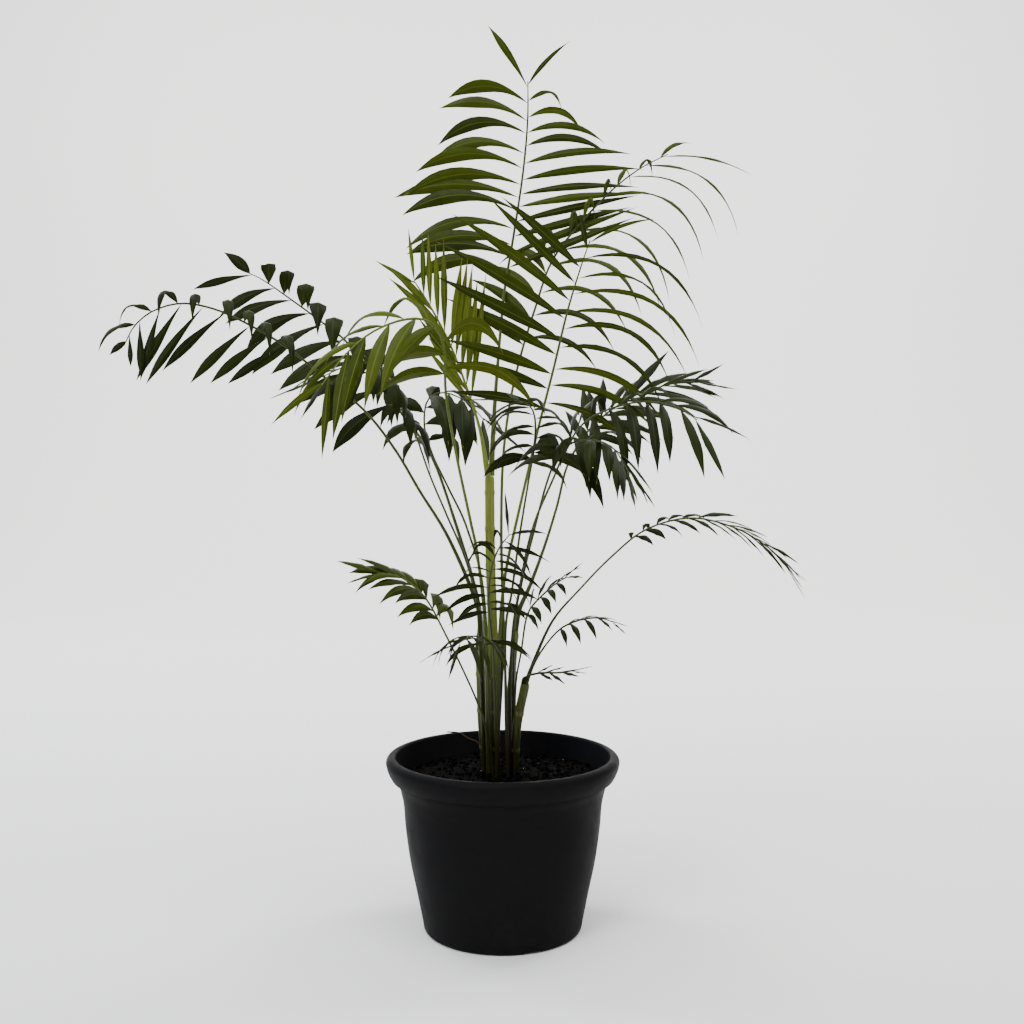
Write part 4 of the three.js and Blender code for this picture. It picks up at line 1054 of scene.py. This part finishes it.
def add_blade(bm, layers, leaflet, line):
    """One leaflet, wrapped from a grid and grown along its line."""
    steps, widest_at = BLADE_STEPS[leaflet["blade"]], WIDEST_AT[leaflet["blade"]]
    grid = bmesh.ops.create_grid(bm, x_segments=steps, y_segments=BLADE_SIDES, size=1)["verts"]
    for face in {face for vert in grid for face in vert.link_faces}:
        face.material_index = UPPER if face.calc_center_median().y < 0 else LOWER
    tone = leaf_random.random()
    phase = leaf_random.random()
    twist = math.radians(TWIST_DEGREES) * leaf_random.uniform(-1, 1)
    for vert in grid:
        t = (vert.co.x + 1) / 2
        across = 1 - 2 * abs(vert.co.y)
        upper = vert.co.y < 0
        wide, out = line.frame(t, math.radians(leaflet["turn"]) + twist * t * t)
        share = min(blade_width(t, widest_at), 1 - HOOK_NARROWING * line.hooked)
        width = leaflet["width"] * share
        roof = FOLD * width * (1 - 2 * abs(across))
        wave = WAVE * across * math.sin(2 * math.pi * (WAVES * t + phase)) * 4 * t * (1 - t)
        thick = BLADE_THICKNESS / 2 * (1 - abs(across)) if width > 0 else 0
        lift = roof + wave + (thick if upper else -thick)
        vert.co = line.place(t) + wide * (across * width / 2) + out * lift
        vert[layers["along"]] = t
        vert[layers["across"]] = (across + 1) / 2
        vert[layers["tone"]] = tone
    bmesh.ops.remove_doubles(bm, verts=grid, dist=0.001 * MM)


# %% [markdown]
# ## The stalk and midrib of a frond
# One stem carries the leaflets. Near its foot it is the sheath that once held the next leaf,
# so it is thicker there. Above, it is grooved on its upper side, and it thins towards the tip.
# The stem and all the blades of a frond are one mesh with three finishes: skin, upper leaf
# side and lower leaf side.

# %% Grow the fronds
STALK_SIDES = 10
STALK_STEP = 10 * MM
STALK_GROOVE = 0.28
SHEATH_SWELL = 0.45
SHEATH_LENGTH = 60 * MM
# The foot keeps its thickness to a tenth of the length and has lost its swelling by three
# tenths. Past the foot the stalk thins, and from four fifths on it runs down to the thinnest.
FOOT_SWELL = 0.35
FOOT_TO = 0.1
SWOLLEN_TO = 0.3
THINNING = 0.5
LEAST_STALK_MM = 1.3
SLIM_FROM = 0.8
THINNEST = 0.65 * MM
LEAF_SLOTS = {"old": "dark_leaf", "grown": "olive_leaf", "fresh": "young_leaf",
              "young": "young_leaf"}
cane_tops = {name: cane["path"][-1][2] for name, cane in CANES.items()}


def stalk_radius(frond, share, from_foot):
    """The radius of a stalk at a share of its length, thicker within the sheath."""
    past_foot = max(0, share - FOOT_TO)
    swell = 1 + FOOT_SWELL * max(0, 1 - past_foot / (SWOLLEN_TO - FOOT_TO))
    plain = max(LEAST_STALK_MM, frond["stalk"] * swell * (1 - THINNING * past_foot)) * MM
    slim = max(0, (share - SLIM_FROM) / (1 - SLIM_FROM))
    plain += (THINNEST - plain) * slim ** 2
    if not frond["on"]:
        return plain
    sheath = max(0, 1 - from_foot / SHEATH_LENGTH)
    return plain * (1 + SHEATH_SWELL * sheath ** 1.5)


def add_stalk(bm, frond, spine):
    """The stem of a frond, from its foot to the last pair of leaflets."""
    rows = int(spine.length / STALK_STEP)
    rings = []
    for row in range(rows + 1):
        share = row / rows
        _, up, right = spine.frame(share, Vector(frond["face"]))
        radius = stalk_radius(frond, share, share * spine.length)
        groove = STALK_GROOVE * min(1, share * 3)
        rings.append(stem_ring(spine.place(share), right, up, radius, STALK_SIDES, groove))
    grow_stem(bm, rings)


leaflet_count = 0
for frond in FRONDS:
    spine = stem_spine(frond["spine"], cane_tops.get(frond["on"]))
    bm = bmesh.new()
    layers = {name: bm.verts.layers.float.new(name) for name in ("along", "across", "tone")}
    add_stalk(bm, frond, spine)
    for leaflet in packed_bends(frond, spine):
        line = Midline(spine, Vector(frond["face"]), leaflet, leaflet["bend"])
        add_blade(bm, layers, leaflet, line)
        leaflet_count += 1
    bmesh.ops.recalc_face_normals(bm, faces=bm.faces)
    leaf = frond["leaf"]
    finishes = [stalk_finishes[leaf], leaf_faces[leaf], leaf_backs[leaf]]
    finish_piece(frond["name"] + "_leaves", bm, finishes, LEAF_SLOTS[leaf], frond["name"])
print("leaflets:", leaflet_count)

# %% [markdown]
# ## The dried stalk
# An old stalk has died back and leans onto the rim. It has shrunk unevenly, so its radius
# wanders a little, and it thins towards its end.

# %% Dried stalk
DRIED_PATH = [(-27, 40), (-29, 60, 203), (-45, 85, 206), (-57, 101, 209), (-73, 112, 208)]
DRIED_FACE = Vector((0.5, -1, 1))
DRIED_RADIUS = 1.4 * MM
DRIED_STEP = 4 * MM
DRIED_GROOVE = 0.3
SHRINKAGE = 0.28


def make_dried_stalk():
    """A thin stem whose radius follows a slow noise."""
    spine = stem_spine(DRIED_PATH)
    rows = int(spine.length / DRIED_STEP)
    rings = []
    for row in range(rows + 1):
        share = row / rows
        _, up, right = spine.frame(share, DRIED_FACE)
        shrunk = 1 + SHRINKAGE * noise.noise(Vector((0, 0, share * 14)))
        radius = DRIED_RADIUS * shrunk * (1 - 0.5 * share ** 4)
        rings.append(stem_ring(spine.place(share), right, up, radius, STALK_SIDES,
                               DRIED_GROOVE))
    bm = bmesh.new()
    grow_stem(bm, rings)
    bmesh.ops.recalc_face_normals(bm, faces=bm.faces)
    return bm


finish_piece("dried_stalk", make_dried_stalk(), [dry_fibre], "dry_stalk", "dry_stalk")

# %% [markdown]
# ## Studio
# The plant stands on a plain pale floor that runs up behind it in one sweep, so no horizon
# shows. Large area lights give soft shadows: one from the left above the camera, a weaker one
# from the right, a bluish one from the side like a window, and one overhead. Two more light
# the wall alone, so that the leaves stand out against it.

# %% Floor and lights
FLOOR_HALF = 5
CORNER_RADIUS = 2


def make_floor():
    """A floor whose back edge is extruded to a wall, with the corner between them rounded."""
    bm = bmesh.new()
    bmesh.ops.create_grid(bm, x_segments=1, y_segments=1, size=FLOOR_HALF)
    back = [edge for edge in bm.edges if all(vert.co.y > 0 for vert in edge.verts)]
    raised = bmesh.ops.extrude_edge_only(bm, edges=back)["geom"]
    verts = [item for item in raised if isinstance(item, bmesh.types.BMVert)]
    bmesh.ops.translate(bm, verts=verts, vec=(0, 0, FLOOR_HALF))
    bmesh.ops.bevel(bm, geom=back, offset=CORNER_RADIUS, affect="EDGES", segments=24,
                    profile=0.5, material=-1)
    for face in bm.faces:
        face.smooth = True
    mesh = bpy.data.meshes.new("floor")
    bm.to_mesh(mesh)
    bm.free()
    floor = bpy.data.objects.new("floor", mesh)
    bpy.context.scene.collection.objects.link(floor)
    return floor


# Matt paper gives an even pale ground and mirrors nothing.
paper, paper_tree, paper_shader, _ = new_material("white_backdrop_paper")
fill(paper_tree, paper_shader, {"Base Color": linear("#f2f2f0"), "Roughness": 0.9})
floor = make_floor()
floor.data.materials.append(paper)


def soft_light(name, place, aim, size, watts, colour="#ffffff"):
    """A square area light that looks at a point."""
    data = bpy.data.lights.new(name, "AREA")
    data.size = size
    data.energy = watts
    data.color = linear(colour)[:3]
    light = bpy.data.objects.new(name, data)
    light.location = place
    light.rotation_euler = (Vector(aim) - Vector(place)).to_track_quat("-Z", "Y").to_euler()
    bpy.context.scene.collection.objects.link(light)


soft_light("key", (-1.3, -2.1, 2.0), (0, 0, 0.5), 1.1, 48)
soft_light("fill", (2.2, -1.4, 1.4), (0, 0, 0.5), 1.6, 12)
soft_light("window", (-2.6, 0.4, 1.0), (0, 0, 0.3), 1.2, 14, "#a8bcff")
soft_light("wall left", (-2.2, 1.6, 3.2), (-1.0, 4.6, 0.8), 2.0, 210)
soft_light("wall right", (2.2, 1.6, 3.2), (1.0, 4.6, 0.8), 2.0, 210)
soft_light("floor", (0, -0.8, 3.4), (0, -0.2, 0), 2.4, 110)
world = bpy.data.worlds.new("studio")
world.use_nodes = True
fill(world.node_tree, world.node_tree.nodes["Background"],
     {"Color": linear("#f4f6ff"), "Strength": 0.3})
bpy.context.scene.world = world
